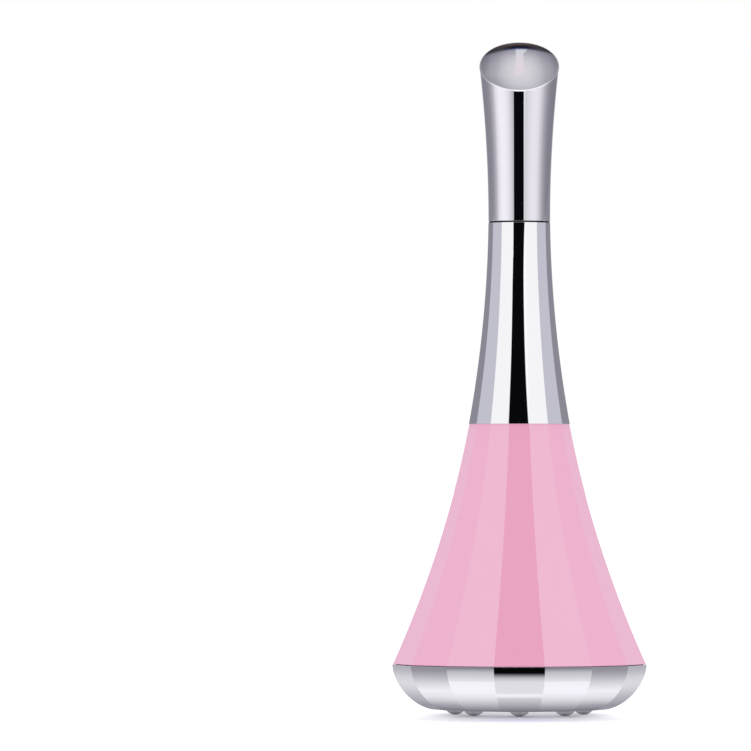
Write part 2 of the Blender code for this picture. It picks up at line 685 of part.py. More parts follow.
def aaa_cell():
    shoulder = CELL_TOP_Z - CELL_NUB_HEIGHT
    step = CELL_FOOT_Z + CELL_NEGATIVE_STEP
    profile = [(0, CELL_TOP_Z), (CELL_NUB_RADIUS, CELL_TOP_Z), (CELL_NUB_RADIUS, shoulder),
               (CELL_RADIUS - CELL_EDGE, shoulder), (CELL_RADIUS, shoulder - CELL_EDGE),
               (CELL_RADIUS, step + CELL_EDGE), (CELL_RADIUS - CELL_EDGE, step),
               (CELL_NEGATIVE_RADIUS, step), (CELL_NEGATIVE_RADIUS, CELL_FOOT_Z),
               (0, CELL_FOOT_Z)]
    return turned("aaa_cell", profile, SMALL_STEPS, CELL_JACKET)


def wire(name, points, radius, look):
    """A round wire along a list of points, with closed ends."""
    route = bpy.data.curves.new(name, "CURVE")
    route.dimensions = "3D"
    route.bevel_depth = radius
    route.bevel_resolution = 1
    route.use_fill_caps = True
    spline = route.splines.new("POLY")
    spline.points.add(len(points) - 1)
    for knot, point in zip(spline.points, points):
        knot.co = (*point, 1.0)
    thing = bpy.data.objects.new(name, route)
    PARTS.objects.link(thing)
    route.materials.append(material(name, look))
    return thing


def cell_spring():
    """A conical coil with a flat turn at each end."""
    half_wire = SPRING_WIRE / 2
    low = SPRING_FOOT_Z + half_wire
    rise = SPRING_LENGTH - SPRING_WIRE
    count = SPRING_TURNS * SPRING_POINTS
    points = []
    for index in range(count + 1):
        turns = SPRING_TURNS * index / count
        along = (turns - SPRING_FLAT_TURNS) / (SPRING_TURNS - 2 * SPRING_FLAT_TURNS)
        along = min(max(along, 0.0), 1.0)
        radius = SPRING_FOOT_RADIUS + (SPRING_TOP_RADIUS - SPRING_FOOT_RADIUS) * index / count
        points.append(around(radius, TURN * turns, low + rise * along))
    return wire("cell_spring", points, half_wire, STEEL)


def spring_plate():
    profile = disc_profile(PLATE_RADIUS, PLATE_TOP_Z - PLATE_THICK, PLATE_TOP_Z)
    return turned("spring_plate", profile, SMALL_STEPS, NICKEL)


def cap_contact():
    """A disc with a raised middle over the cell's nub."""
    foot = CONTACT_TOP_Z - CONTACT_THICK
    step = CONTACT_DIMPLE_STEP
    profile = [(0, CONTACT_TOP_Z + step), (CONTACT_DIMPLE_RADIUS, CONTACT_TOP_Z + step),
               (CONTACT_DIMPLE_RADIUS + step, CONTACT_TOP_Z), (TUBE_RADIUS - GAP, CONTACT_TOP_Z),
               (TUBE_RADIUS - GAP, foot), (CONTACT_DIMPLE_RADIUS + step, foot),
               (CONTACT_DIMPLE_RADIUS, foot + step), (0, foot + step)]
    return turned("cap_contact", profile, SMALL_STEPS, BRASS)


def cap_insulator():
    foot = CONTACT_TOP_Z + GAP
    recess = CONTACT_DIMPLE_STEP + GAP
    profile = [(0, foot + INSULATOR_THICK), (TUBE_RADIUS - GAP, foot + INSULATOR_THICK),
               (TUBE_RADIUS - GAP, foot), (CONTACT_DIMPLE_RADIUS + recess, foot),
               (CONTACT_DIMPLE_RADIUS + recess, foot + CONTACT_DIMPLE_STEP),
               (0, foot + CONTACT_DIMPLE_STEP)]
    return turned("cap_insulator", profile, SMALL_STEPS, BLACK_ABS)


def cap_seal_ring():
    profile = ring_profile(TUBE_CLEAR, TUBE_CLEAR + SEAL_WIDTH, CAP_MOUTH_Z,
                           CAP_MOUTH_Z + SEAL_HEIGHT)
    return turned("cap_seal_ring", profile, SMALL_STEPS, RUBBER)


def end_tool():
    """The slanted, slightly crowned shape that the cap's end is cut to."""
    rim = cap_radius(CAP_END_Z) / math.cos(CAP_END_SLANT)
    crown = [(radius, CAP_END_RISE * (1 - (radius / rim) ** 2))
             for radius in levels(0.0, rim * DOME_MARGIN_SHARE, DOME_STATIONS)]
    margin_radius, margin_z = crown[-1]
    slope = 2 * CAP_END_RISE * margin_radius / rim ** 2
    reach = CAP_AXIS_HEIGHT
    foot = -CAP_AXIS_HEIGHT - CAP_MOUTH_RADIUS
    far = (reach, margin_z - slope * (reach - margin_radius))
    profile = crown + [far, (reach, foot), (0, foot)]
    tool = turned("end_tool", profile, ROUND_STEPS)
    tool.location.z = CAP_END_Z
    tool.rotation_euler.x = CAP_END_SLANT
    return tool


def cap_shell():
    """Flared cap, its crowned slanted end, and the threaded hollow that takes tube and cell."""
    blank_top = CAP_END_Z + CAP_BLANK
    flare = [(cap_radius(z), z) for z in levels(blank_top, CAP_MOUTH_Z, CAP_STATIONS)]
    shell = turned("cap_shell", [(0, blank_top)] + flare + [(0, CAP_MOUTH_Z)], ROUND_STEPS, CHROME)
    combine(shell, end_tool(), "INTERSECT")
    bevel(shell, CAP_EDGE)
    seal_roof = CAP_MOUTH_Z + SEAL_HEIGHT + GAP
    seal_room = TUBE_CLEAR + SEAL_WIDTH + GAP
    bore_top = TUBE_TOP_Z + GAP
    below = CAP_MOUTH_Z - CUT_OVERRUN
    hollow = [(0, CAP_ROOF_Z), (TUBE_RADIUS, CAP_ROOF_Z), (TUBE_RADIUS, bore_top),
              (TUBE_CLEAR, bore_top), (TUBE_CLEAR, seal_roof), (seal_room, seal_roof),
              (seal_room, below), (0, below)]
    cut(shell, turned("cap_hollow", hollow, ROUND_STEPS))
    thread_top = THREAD_FOOT_Z + THREAD_LENGTH + GAP
    for groove in thread_starts("female_start", CAP_MOUTH_Z, thread_top - CAP_MOUTH_Z, GAP):
        cut(shell, groove)
    return shell


def plate_hole(name, radius, centre):
    """Cutter for a hole through the chassis plate."""
    tool = turned(name, disc_profile(radius, CHASSIS_FOOT_Z - CUT_OVERRUN,
                                     CHASSIS_TOP_Z + CUT_OVERRUN), SCREW_STEPS)
    tool.location = centre
    return tool


def rail_x():
    """Middle of a rail, from the board's edge and how far the board enters it."""
    return PCB_WIDTH / 2 - PCB_TONGUE + RAIL_WIDTH / 2


def motor_point(x=0.0, y=0.0, z=0.0):
    """A point given from the middle of the motor can."""
    return Vector((MOTOR_OFFSET + x, y - MOTOR_FORWARD, MOTOR_Z + z))


def clamp_screw_points(z):
    return [motor_point(y=side * CLAMP_SCREW_SPREAD, z=z) for side in (-1, 1)]


def cradle_top():
    """Height of the cradle's top below the motor axis."""
    return -GAP / 2


def chassis():
    """Plate on the base's bosses, two grooved rails for the board and the motor's cradle."""
    plate = turned("chassis", disc_profile(CHASSIS_RADIUS, CHASSIS_FOOT_Z, CHASSIS_TOP_Z),
                   ROUND_STEPS, WHITE_ABS)
    flatten(plate)
    for side, label in ((-1, "left"), (1, "right")):
        foot = CHASSIS_TOP_Z - CUT_OVERRUN
        rail = box(f"rail_{label}", (RAIL_WIDTH, RAIL_DEPTH, RAIL_TOP_Z - foot),
                   (side * rail_x(), PCB_SETBACK, (RAIL_TOP_Z + foot) / 2))
        join(plate, rail)
    cradle_foot = CHASSIS_TOP_Z - CUT_OVERRUN
    top = MOTOR_Z + cradle_top()
    cradle = box("cradle", (CRADLE_LENGTH, CRADLE_WIDTH, top - cradle_foot),
                 motor_point(z=(top + cradle_foot) / 2 - MOTOR_Z))
    join(plate, cradle)
    low = PCB_FOOT_Z - GAP / 2
    high = RAIL_TOP_Z + CUT_OVERRUN
    groove = box("board_groove", (PCB_WIDTH + 2 * GAP, PCB_THICK + 2 * GAP, high - low),
                 (0, PCB_SETBACK, (low + high) / 2))
    cut(plate, groove)
    cut(plate, cylinder("saddle", MOTOR_RADIUS + GAP, CRADLE_LENGTH + 2 * CUT_OVERRUN,
                        motor_point(), "X", SMALL_STEPS))
    cut(plate, plate_hole("lead_hole", LEAD_HOLE_RADIUS, ring_joint(0.0)))
    for number, angle in enumerate(boss_angles(), 1):
        cut(plate, plate_hole(f"screw_hole_{number}", SCREW_RADIUS + GAP,
                              around(BOSS_CIRCLE_RADIUS, angle)))
    for number, point in enumerate(clamp_screw_points(cradle_top() - CLAMP_PILOT_DEPTH / 2), 1):
        cut(plate, cylinder(f"clamp_pilot_{number}", SCREW_RADIUS + GAP / 2,
                            CLAMP_PILOT_DEPTH + CUT_OVERRUN, point, "Z", SCREW_STEPS))
    return plate


def screw_profile(length):
    """A pan-head screw with a socket. Its head rests on height zero."""
    floor = SCREW_HEAD_HEIGHT - SCREW_SOCKET_DEPTH
    return [(0, floor), (SCREW_SOCKET_RADIUS, floor), (SCREW_SOCKET_RADIUS, SCREW_HEAD_HEIGHT),
            (SCREW_HEAD_RADIUS, SCREW_HEAD_HEIGHT), (SCREW_HEAD_RADIUS, 0), (SCREW_RADIUS, 0),
            (SCREW_RADIUS, SCREW_RADIUS - length), (0, -length)]


def screws(name, length, seats):
    """One screw at each seat, named with its number."""
    for number, seat in enumerate(seats, 1):
        screw = turned(f"{name}_{number}", screw_profile(length), SCREW_STEPS, STEEL)
        screw.location = seat


def chassis_screws():
    seat = CHASSIS_TOP_Z + GAP
    screws("chassis_screw", SCREW_LENGTH,
           [around(BOSS_CIRCLE_RADIUS, angle, seat) for angle in boss_angles()])


def motor_can():
    can = cylinder("motor_can", MOTOR_RADIUS, MOTOR_LENGTH, motor_point(), "X", SMALL_STEPS, STEEL)
    bevel(can, MOTOR_EDGE)
    bore = cylinder("shaft_bore", SHAFT_RADIUS + GAP, SHAFT_INSIDE + GAP + CUT_OVERRUN,
                    motor_point(x=(MOTOR_LENGTH - SHAFT_INSIDE - GAP + CUT_OVERRUN) / 2),
                    "X", SCREW_STEPS)
    cut(can, bore)
    return can


def motor_endbell():
    middle = -(MOTOR_LENGTH + ENDBELL_THICK) / 2 - GAP
    return cylinder("motor_endbell", ENDBELL_RADIUS, ENDBELL_THICK, motor_point(x=middle),
                    "X", SMALL_STEPS, BLACK_ABS)


def motor_shaft():
    length = SHAFT_INSIDE + SHAFT_OUTSIDE
    middle = MOTOR_LENGTH / 2 - SHAFT_INSIDE + length / 2
    shaft = cylinder("motor_shaft", SHAFT_RADIUS, length, motor_point(), "X", SCREW_STEPS, STEEL)
    shaft.data.transform(Matrix.Translation((middle, 0, 0)))
    return shaft


def eccentric_weight():
    """Half a disc and a hub, its origin on the shaft's axis."""
    middle = MOTOR_LENGTH / 2 + WEIGHT_STANDOFF + WEIGHT_LENGTH / 2
    weight = cylinder("eccentric_weight", WEIGHT_RADIUS, WEIGHT_LENGTH, motor_point(), "X",
                      SMALL_STEPS, TUNGSTEN)
    weight.data.transform(Matrix.Translation((middle, 0, 0)))
    room = 2 * (WEIGHT_RADIUS + CUT_OVERRUN)
    half = box("weight_half", (WEIGHT_LENGTH + 2 * CUT_OVERRUN, room, room / 2),
               motor_point(x=middle, z=room / 4))
    cut(weight, half)
    hub = cylinder("weight_hub", WEIGHT_HUB_RADIUS, WEIGHT_LENGTH, motor_point(x=middle), "X",
                   SMALL_STEPS)
    join(weight, hub)
    cut(weight, cylinder("weight_bore", SHAFT_RADIUS + GAP, WEIGHT_LENGTH + 2 * CUT_OVERRUN,
                         motor_point(x=middle), "X", SCREW_STEPS))
    return weight


def strip(name, path, side, thickness, look):
    """Sheet metal bent along a path, as wide as the side vector, thickened to one side."""
    shape = bmesh.new()
    knots = [shape.verts.new(point) for point in path]
    edges = [shape.edges.new(pair) for pair in zip(knots, knots[1:])]
    made = bmesh.ops.extrude_edge_only(shape, edges=edges)
    moved = [item for item in made["geom"] if isinstance(item, bmesh.types.BMVert)]
    bmesh.ops.translate(shape, vec=side, verts=moved)
    mesh = bpy.data.meshes.new(name)
    shape.to_mesh(mesh)
    shape.free()
    thing = place(name, mesh, look)
    sheet = thing.modifiers.new("Sheet", "SOLIDIFY")
    sheet.thickness = thickness
    sheet.offset = 1.0
    sheet.use_even_offset = True
    return thing


def motor_clamp():
    """An arch over the can with a flat foot and a screw hole on each side."""
    inner = MOTOR_RADIUS + GAP
    foot = cradle_top() + GAP
    toe = CRADLE_WIDTH / 2
    start = math.asin(foot / inner)
    arc = [(0, inner * math.cos(turn), inner * math.sin(turn))
           for turn in levels(math.pi - start, start, CLAMP_STATIONS)]
    path = [(0, -toe, foot)] + arc + [(0, toe, foot)]
    clamp = strip("motor_clamp", path, (CLAMP_LENGTH, 0, 0), CLAMP_WALL, NICKEL)
    clamp.location = motor_point(x=-CLAMP_LENGTH / 2)
    for number, point in enumerate(clamp_screw_points(foot + CLAMP_WALL / 2), 1):
        cut(clamp, cylinder(f"clamp_hole_{number}", SCREW_RADIUS + GAP / 2,
                            CLAMP_WALL + 2 * CUT_OVERRUN, point, "Z", SCREW_STEPS))
    return clamp


def clamp_screws():
    seat = cradle_top() + GAP + CLAMP_WALL + GAP
    screws("clamp_screw", CLAMP_SCREW_LENGTH, clamp_screw_points(seat))


def pcb():
    return box("pcb", (PCB_WIDTH, PCB_THICK, PCB_HEIGHT),
               (0, PCB_SETBACK, PCB_FOOT_Z + PCB_HEIGHT / 2), BOARD_GREEN)


def on_board(x, z, depth, face=-1):
    """Centre of a component that stands on the board's front (-1) or rear (1) face."""
    return Vector((x, PCB_SETBACK + face * (PCB_THICK / 2 + GAP + depth / 2), z))


def board_z(rise_share):
    return PCB_FOOT_Z + PCB_HEIGHT * rise_share


def stood_on_board(name, profile, x, z, face, look):
    """A round component whose profile starts at height zero on a face of the board."""
    thing = turned(name, profile, BEAD_STEPS, look)
    thing.location = on_board(x, z, 0.0, face)
    thing.rotation_euler.x = -face * math.pi / 2
    return thing


def control_chip():
    """A flat package with a row of legs at each side."""
    centre = on_board(0.0, board_z(CHIP_RISE_SHARE), CHIP_THICK)
    chip = box("control_chip", (CHIP_SIZE, CHIP_THICK, CHIP_SIZE), centre, BLACK_ABS)
    bevel(chip, CHIP_EDGE)
    drop = Vector((0, (CHIP_THICK - CHIP_LEG_THICK) / 2 - CHIP_EDGE, 0))
    pitch = CHIP_SIZE / CHIP_LEGS
    for index in range(CHIP_LEGS):
        up = Vector((0, 0, (index + 1 / 2) * pitch - CHIP_SIZE / 2))
        join(chip, box(f"chip_leg_{index + 1}",
                       (CHIP_SIZE + 2 * CHIP_LEG_REACH, CHIP_LEG_THICK, CHIP_LEG_WIDTH),
                       centre + drop + up))
    return chip


def inductor():
    """A drum core, its flanges wider than its winding."""
    top = INDUCTOR_HEIGHT - INDUCTOR_FLANGE
    profile = [(0, INDUCTOR_HEIGHT), (INDUCTOR_RADIUS, INDUCTOR_HEIGHT), (INDUCTOR_RADIUS, top),
               (INDUCTOR_WAIST, top), (INDUCTOR_WAIST, INDUCTOR_FLANGE),
               (INDUCTOR_RADIUS, INDUCTOR_FLANGE), (INDUCTOR_RADIUS, 0), (0, 0)]
    return stood_on_board("inductor", profile, 0.0, board_z(INDUCTOR_RISE_SHARE), 1, BLACK_ABS)


def capacitors():
    """Two cans with the crimp that holds the rubber plug in their foot."""
    crimp = CAPACITOR_CRIMP
    profile = [(0, CAPACITOR_HEIGHT), (CAPACITOR_RADIUS - CAPACITOR_EDGE, CAPACITOR_HEIGHT),
               (CAPACITOR_RADIUS, CAPACITOR_HEIGHT - CAPACITOR_EDGE),
               (CAPACITOR_RADIUS, 4 * crimp), (CAPACITOR_RADIUS - crimp, 3 * crimp),
               (CAPACITOR_RADIUS, 2 * crimp), (CAPACITOR_RADIUS, 0), (0, 0)]
    for number, side in enumerate((-1, 1), 1):
        stood_on_board(f"capacitor_{number}", profile, side * CAPACITOR_SPREAD,
                       board_z(CAPACITOR_RISE_SHARE), -1, STEEL)


def hand_electrode_leaf():
    """A leaf along the neck's inner wall, with a tab bent inwards at its foot."""
    wall = [(0, leaf_inner(z), z) for z in levels(LEAF_FOOT_Z, LEAF_TOP_Z, LEAF_STATIONS)]
    tab = (0, wall[0][1] - LEAF_TAB, LEAF_FOOT_Z)
    path = wall[::-1] + [tab]
    leaf = strip("hand_electrode_leaf", path, (LEAF_WIDTH, 0, 0), LEAF_THICK, NICKEL)
    leaf.location.x = -LEAF_WIDTH / 2
    return leaf


def bend(start, leaving, end, arriving):
    """Points of a lead that leaves its start and reaches its end in given directions."""
    reach = LEAD_STIFFNESS_SHARE * (end - start).length
    first = start + leaving * reach
    last = end - arriving * reach
    points = []
    for t in levels(0.0, 1.0, LEAD_POINTS):
        ends = start * (1 - t) ** 3 + end * t ** 3
        points.append(ends + (first * (1 - t) + last * t) * (3 * t * (1 - t)))
    return points


def solder_point(x, z, face):
    """Where a lead ends on the board's front (-1) or rear (1) face."""
    return on_board(x, z, 2 * LEAD_RADIUS, face)


def ring_joint(z):
    """Above the bead contact ring, half-way between two beads, where its lead is soldered."""
    return around(BEAD_RING_RADIUS, math.pi / 2 - TURN / BEAD_COUNT / 2, z)


def leads():
    """The leads of the cell, of both electrodes and of the motor."""
    top_z = PCB_TOP_Z - SOLDER_INSET
    points = bend(Vector((0, 0, TUBE_FLOOR_Z)), DOWN,
                  solder_point(LEAD_SPREAD / 2, top_z, -1), DOWN)
    wire("cell_lead", points, LEAD_RADIUS, LEAD_BLACK)

    tab_y = leaf_inner(LEAF_FOOT_Z) - LEAF_TAB + LEAD_RADIUS
    points = bend(Vector((0, tab_y, LEAF_FOOT_Z - LEAF_THICK - GAP)), DOWN,
                  solder_point(-LEAD_SPREAD / 2, top_z, 1), DOWN)
    wire("hand_electrode_lead", points, LEAD_RADIUS, LEAD_WHITE)

    end = solder_point(INDUCTOR_RADIUS + SOLDER_INSET, PCB_FOOT_Z + 2 * SOLDER_INSET, 1)
    points = [ring_joint(CONTACT_RING_TOP_Z + GAP)]
    points += bend(ring_joint(CHASSIS_TOP_Z + LEAD_HOLE_RADIUS), UP, end, DOWN)
    wire("face_electrode_lead", points, LEAD_RADIUS, LEAD_WHITE)

    tail = -MOTOR_LENGTH / 2 - 2 * GAP - ENDBELL_THICK
    end_z = board_z(CHIP_RISE_SHARE) - CHIP_SIZE / 2 - SOLDER_INSET
    for number, side, colour, look in ((0, 1, "red", LEAD_RED), (1, -1, "black", LEAD_BLACK)):
        start = motor_point(x=tail, z=side * ENDBELL_RADIUS / 2)
        end = solder_point(-CHIP_SIZE / 2 - number * LEAD_SPREAD, end_z, -1)
        wire(f"motor_lead_{colour}", bend(start, LEFT, end, UP), LEAD_RADIUS, look)


def build():
    neck_shell()
    skirt_shell()
    base_shell()
    base_gasket()
    beads()
    bead_contact_ring()
    battery_tube()
    tube_spacer()
    aaa_cell()
    cell_spring()
    spring_plate()
    cap_contact()
    cap_insulator()
    cap_seal_ring()
    cap_shell()
    chassis()
    chassis_screws()
    motor_can()
    motor_endbell()
    motor_shaft()
    eccentric_weight()
    motor_clamp()
    clamp_screws()
    pcb()
    control_chip()
    inductor()
    capacitors()
    hand_electrode_leaf()
    leads()


build()
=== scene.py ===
"""Looks of the wand-shaped facial skincare device, in metres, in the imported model's frame."""
import json
import math

import bmesh
import bpy
from mathutils import Matrix, Vector
from mathutils.geometry import delaunay_2d_cdt


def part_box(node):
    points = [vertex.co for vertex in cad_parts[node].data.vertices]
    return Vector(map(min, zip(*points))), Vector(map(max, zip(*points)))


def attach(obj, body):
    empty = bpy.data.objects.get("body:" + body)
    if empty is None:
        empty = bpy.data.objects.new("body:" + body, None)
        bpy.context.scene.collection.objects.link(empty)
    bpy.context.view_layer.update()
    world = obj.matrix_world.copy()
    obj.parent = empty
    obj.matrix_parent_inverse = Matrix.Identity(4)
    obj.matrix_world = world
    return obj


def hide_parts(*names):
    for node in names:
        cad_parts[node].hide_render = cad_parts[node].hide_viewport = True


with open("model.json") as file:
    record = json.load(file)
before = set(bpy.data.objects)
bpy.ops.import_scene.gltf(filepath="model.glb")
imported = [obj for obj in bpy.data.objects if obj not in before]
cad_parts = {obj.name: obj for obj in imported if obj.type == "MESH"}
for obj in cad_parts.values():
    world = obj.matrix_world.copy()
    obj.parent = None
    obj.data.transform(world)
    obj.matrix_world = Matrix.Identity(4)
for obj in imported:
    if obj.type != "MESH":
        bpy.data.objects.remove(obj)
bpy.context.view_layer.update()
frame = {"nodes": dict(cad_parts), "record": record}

MM = 0.001
TURN = 2 * math.pi
EPS = 1e-6

# Sizes that the pieces share with the solids
GAP = 0.3 * MM
FACETS = 16
HALF_FACET = math.pi / FACETS
CORNER = math.cos(HALF_FACET)
CAP_SEAM_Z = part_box("cap_shell")[0].z - GAP / 2
NECK_SEAM_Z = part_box("neck_shell")[0].z - GAP / 2
SKIRT_SEAM_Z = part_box("skirt_shell")[0].z - GAP / 2
BASE_FLAT_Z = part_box("base_shell")[0].z
SKIRT_COLLAR_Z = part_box("skirt_shell")[1].z
BASE_COLLAR_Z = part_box("base_shell")[1].z
TUBE_FOOT_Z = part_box("battery_tube")[0].z
TUBE_TOP_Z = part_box("battery_tube")[1].z
CELL_FOOT_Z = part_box("aaa_cell")[0].z
CELL_TOP_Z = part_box("aaa_cell")[1].z
CELL_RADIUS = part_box("aaa_cell")[1].x
SEAL_FOOT_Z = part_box("cap_seal_ring")[0].z
SEAL_TOP_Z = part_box("cap_seal_ring")[1].z
SKIRT_FOOT_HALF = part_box("base_shell")[1].x
NECK_HEIGHT = CAP_SEAM_Z - NECK_SEAM_Z
SKIRT_HEIGHT = NECK_SEAM_Z - SKIRT_SEAM_Z
CAP_AXIS_HEIGHT = 37.8 * MM
CAP_END_Z = CAP_SEAM_Z + CAP_AXIS_HEIGHT
CAP_FLARE = 2.15 * MM
CAP_END_SLANT = math.radians(34.2)
CAP_END_RISE = 0.8 * MM
CAP_ROOF_Z = CAP_SEAM_Z + 26.0 * MM
TUBE_BORE_RADIUS = 5.45 * MM
TUBE_RADIUS = 5.95 * MM
TUBE_CLEAR = TUBE_RADIUS + GAP
FLANGE_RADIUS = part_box("battery_tube")[1].x
THREAD_DEPTH = 0.55 * MM
THREAD_LEAD = 6.0 * MM
THREAD_PITCH = 2.0 * MM
THREAD_FOOT_Z = CAP_SEAM_Z + 2.4 * MM
THREAD_LENGTH = 9.0 * MM
CAP_MOUTH_RADIUS = TUBE_RADIUS + THREAD_DEPTH + GAP + 0.73 * MM
NECK_TOP_HALF = CAP_MOUTH_RADIUS
NECK_FOOT_HALF = 12.28 * MM
NECK_STRAIGHT_SHARE = 0.14
NECK_WALL = 1.0 * MM
NECK_LIP = 1.2 * MM
SKIRT_TOP_HALF = NECK_FOOT_HALF - 0.12 * MM
SKIRT_STRAIGHT_SHARE = 0.59
SKIRT_WALL = 2.0 * MM
SPIGOT_WALL = 1.5 * MM
BASE_WALL = 1.8 * MM
BASE_ROUNDING = 10.45 * MM
BASE_FLAT_HALF = SKIRT_FOOT_HALF - BASE_ROUNDING
BASE_POWER = 2 / 1.7
BASE_RIM_Z = SKIRT_SEAM_Z - GAP / 2
BASE_FLOOR_Z = BASE_FLAT_Z + BASE_WALL
BEAD_COUNT = 8
BEAD_RING_RADIUS = BASE_FLAT_HALF - 4.84 * MM
BEAD_HEAD_RADIUS = 2.45 * MM
BEAD_TIP_RADIUS = 0.35 * MM
BEAD_SEAT_DEPTH = 0.6 * MM
BEAD_STEM_RADIUS = 1.2 * MM
BEAD_RIVET_RADIUS = 2.1 * MM

# Details that only the looks have
FACET_EDGE = 0.12 * MM
SEAM_EDGE = 0.10 * MM
CAP_EDGE = 0.26 * MM            # round the cap's end, at its highest point
CAP_EDGE_MORE = 0.18 * MM       # that this edge is broader by at the sides and in front
RIM_EDGE = 0.03 * MM           # of the bowl's rim, which leans in from its top
RIM_LEAN = math.radians(5.6)
MOUTH_EDGE = 0.04 * MM         # of the cap's foot and the neck's top
NECK_SUNK = 0.08 * MM          # of the neck's top below the solid's
NECK_CUT_Z = NECK_SEAM_Z - 0.2 * MM
CAP_MOUTH_PROUD = 0.06 * MM    # of the cap's foot past the top of the neck
NECK_CROWN = math.radians(2.0)
SEAM_LINE = 0.12 * MM          # open line between skirt and base
SEAM_RISE = 0.24 * MM          # of that line above the middle of the solids' gap
ROUND_COLUMNS = 96
SMALL_COLUMNS = 48
WELD = 2e-7


# Geometry
def levels(low, high, count):
    return [low + (high - low) * step / (count - 1) for step in range(count)]


def around(radius, angle, z=0.0):
    return Vector((radius * math.cos(angle), radius * math.sin(angle), z))


class Round:
    """Columns of a round section."""

    def __init__(self, count, at=(0.0, 0.0)):
        self.count = count
        self.at = at

    def row(self, half, z, out, up):
        points = []
        normals = []
        for step in range(self.count):
            angle = TURN * step / self.count
            points.append(Vector((self.at[0] + half * math.cos(angle),
                                  self.at[1] + half * math.sin(angle), z)))
            normals.append(Vector((out * math.cos(angle), out * math.sin(angle), up)))
        return points, normals


class Faceted:
    """Columns of a sixteen-sided section with rounded corners; a flat faces the front."""
    INNER = (-HALF_FACET / 2, 0.0, HALF_FACET / 2)
    CORNER_STEPS = 3

    def __init__(self, edge=FACET_EDGE, crown=0.0):
        self.edge = edge
        self.crown = crown

    def columns(self):
        for facet in range(FACETS):
            middle = facet * 2 * HALF_FACET - math.pi / 2
            for offset in self.INNER:
                yield "flat", middle, offset
            for turn in levels(self.crown, 2 * HALF_FACET - self.crown, self.CORNER_STEPS + 1):
                yield "corner", middle + HALF_FACET, middle + turn

    def row(self, half, z, out, up):
        points = []
        normals = []
        for kind, first, second in self.columns():
            if kind == "flat":
                along = half * math.tan(second)
                share = math.tan(second) / math.tan(HALF_FACET)
                reach = half * math.tan(HALF_FACET) * math.tan(self.crown) / 2
                distance = half + reach * (1 - share * share)
                point = Vector((distance * math.cos(first) - along * math.sin(first),
                                distance * math.sin(first) + along * math.cos(first), z))
                lean = first + self.crown * share
                normal = Vector((out * math.cos(lean), out * math.sin(lean), up))
            else:
                point = around((half - self.edge) / CORNER, first, z)
                point += around(self.edge, second)
                normal = Vector((out * math.cos(second), out * math.sin(second),
                                 up * math.cos(second - first) / CORNER))
            points.append(point)
            normals.append(normal)
        return points, normals

    def ring(self, radius, z, out, up, like):
        """A round row whose columns stand at the angles of a faceted row."""
        points = []
        normals = []
        for point in self.row(like, z, 1.0, 0.0)[0]:
            angle = math.atan2(point.y, point.x)
            points.append(around(radius, angle, z))
            normals.append(Vector((out * math.cos(angle), out * math.sin(angle), up)))
        return points, normals


class Skin:
    """Collects faces with their corner normals, and welds them into one mesh."""

    def __init__(self):
        self.points = []
        self.faces = []

    def face(self, points, normals):
        first = len(self.points)
        self.points.extend(Vector(point) for point in points)
        self.faces.append(([first + step for step in range(len(points))],
                           [Vector(normal).normalized() for normal in normals]))

    def grid(self, rows, closed=True):
        """Rows of (points, normals), all of one length."""
        count = len(rows[0][0])
        last = count if closed else count - 1
        for low, high in zip(rows, rows[1:]):
            for left in range(last):
                right = (left + 1) % count
                self.face([low[0][left], low[0][right], high[0][right], high[0][left]],
                          [low[1][left], low[1][right], high[1][right], high[1][left]])

    def runs(self, section, *runs):
        """Each run is a smooth profile of (half, height, out, up)."""
        for run in runs:
            self.grid([section.row(*station) for station in run])

    def triangles(self, corners, triangles, normal):
        for triangle in triangles:
            self.face([corners[index] for index in triangle], [normal] * 3)

    def make(self, name, *materials):
        shape = bmesh.new()
        verts = [shape.verts.new(point) for point in self.points]
        shape.verts.index_update()
        twins = bmesh.ops.find_doubles(shape, verts=verts, dist=WELD)["targetmap"]
        target = {source.index: kept.index for source, kept in twins.items()}
        shape.free()
        places = {}
        coordinates = []
        faces = []
        corner_normals = []
        for indices, normals in self.faces:
            corners = []
            kept_normals = []
            for index, normal in zip(indices, normals):
                index = target.get(index, index)
                if index not in corners:
                    corners.append(index)
                    kept_normals.append(normal)
            if len(corners) < 3:
                continue
            spots = [self.points[index] for index in corners]
            area = Vector()
            for step in range(1, len(spots) - 1):
                area += (spots[step] - spots[0]).cross(spots[step + 1] - spots[0])
            if area.length < 1e-15:
                continue
            if area.dot(sum(kept_normals, Vector())) < 0:
                corners.reverse()
                kept_normals.reverse()
            for index in corners:
                if index not in places:
                    places[index] = len(coordinates)
                    coordinates.append(self.points[index])
            faces.append([places[index] for index in corners])
            corner_normals.extend(kept_normals)
        mesh = bpy.data.meshes.new(name)
        mesh.from_pydata(coordinates, [], faces)
        mesh.shade_smooth()
        mesh.normals_split_custom_set(corner_normals)
        mesh.update()
        thing = bpy.data.objects.new(name, mesh)
        bpy.context.scene.collection.objects.link(thing)
        for material in materials:
            mesh.materials.append(material)
        return thing


def slope(half, z):
    return (half(z + EPS) - half(z - EPS)) / (2 * EPS)


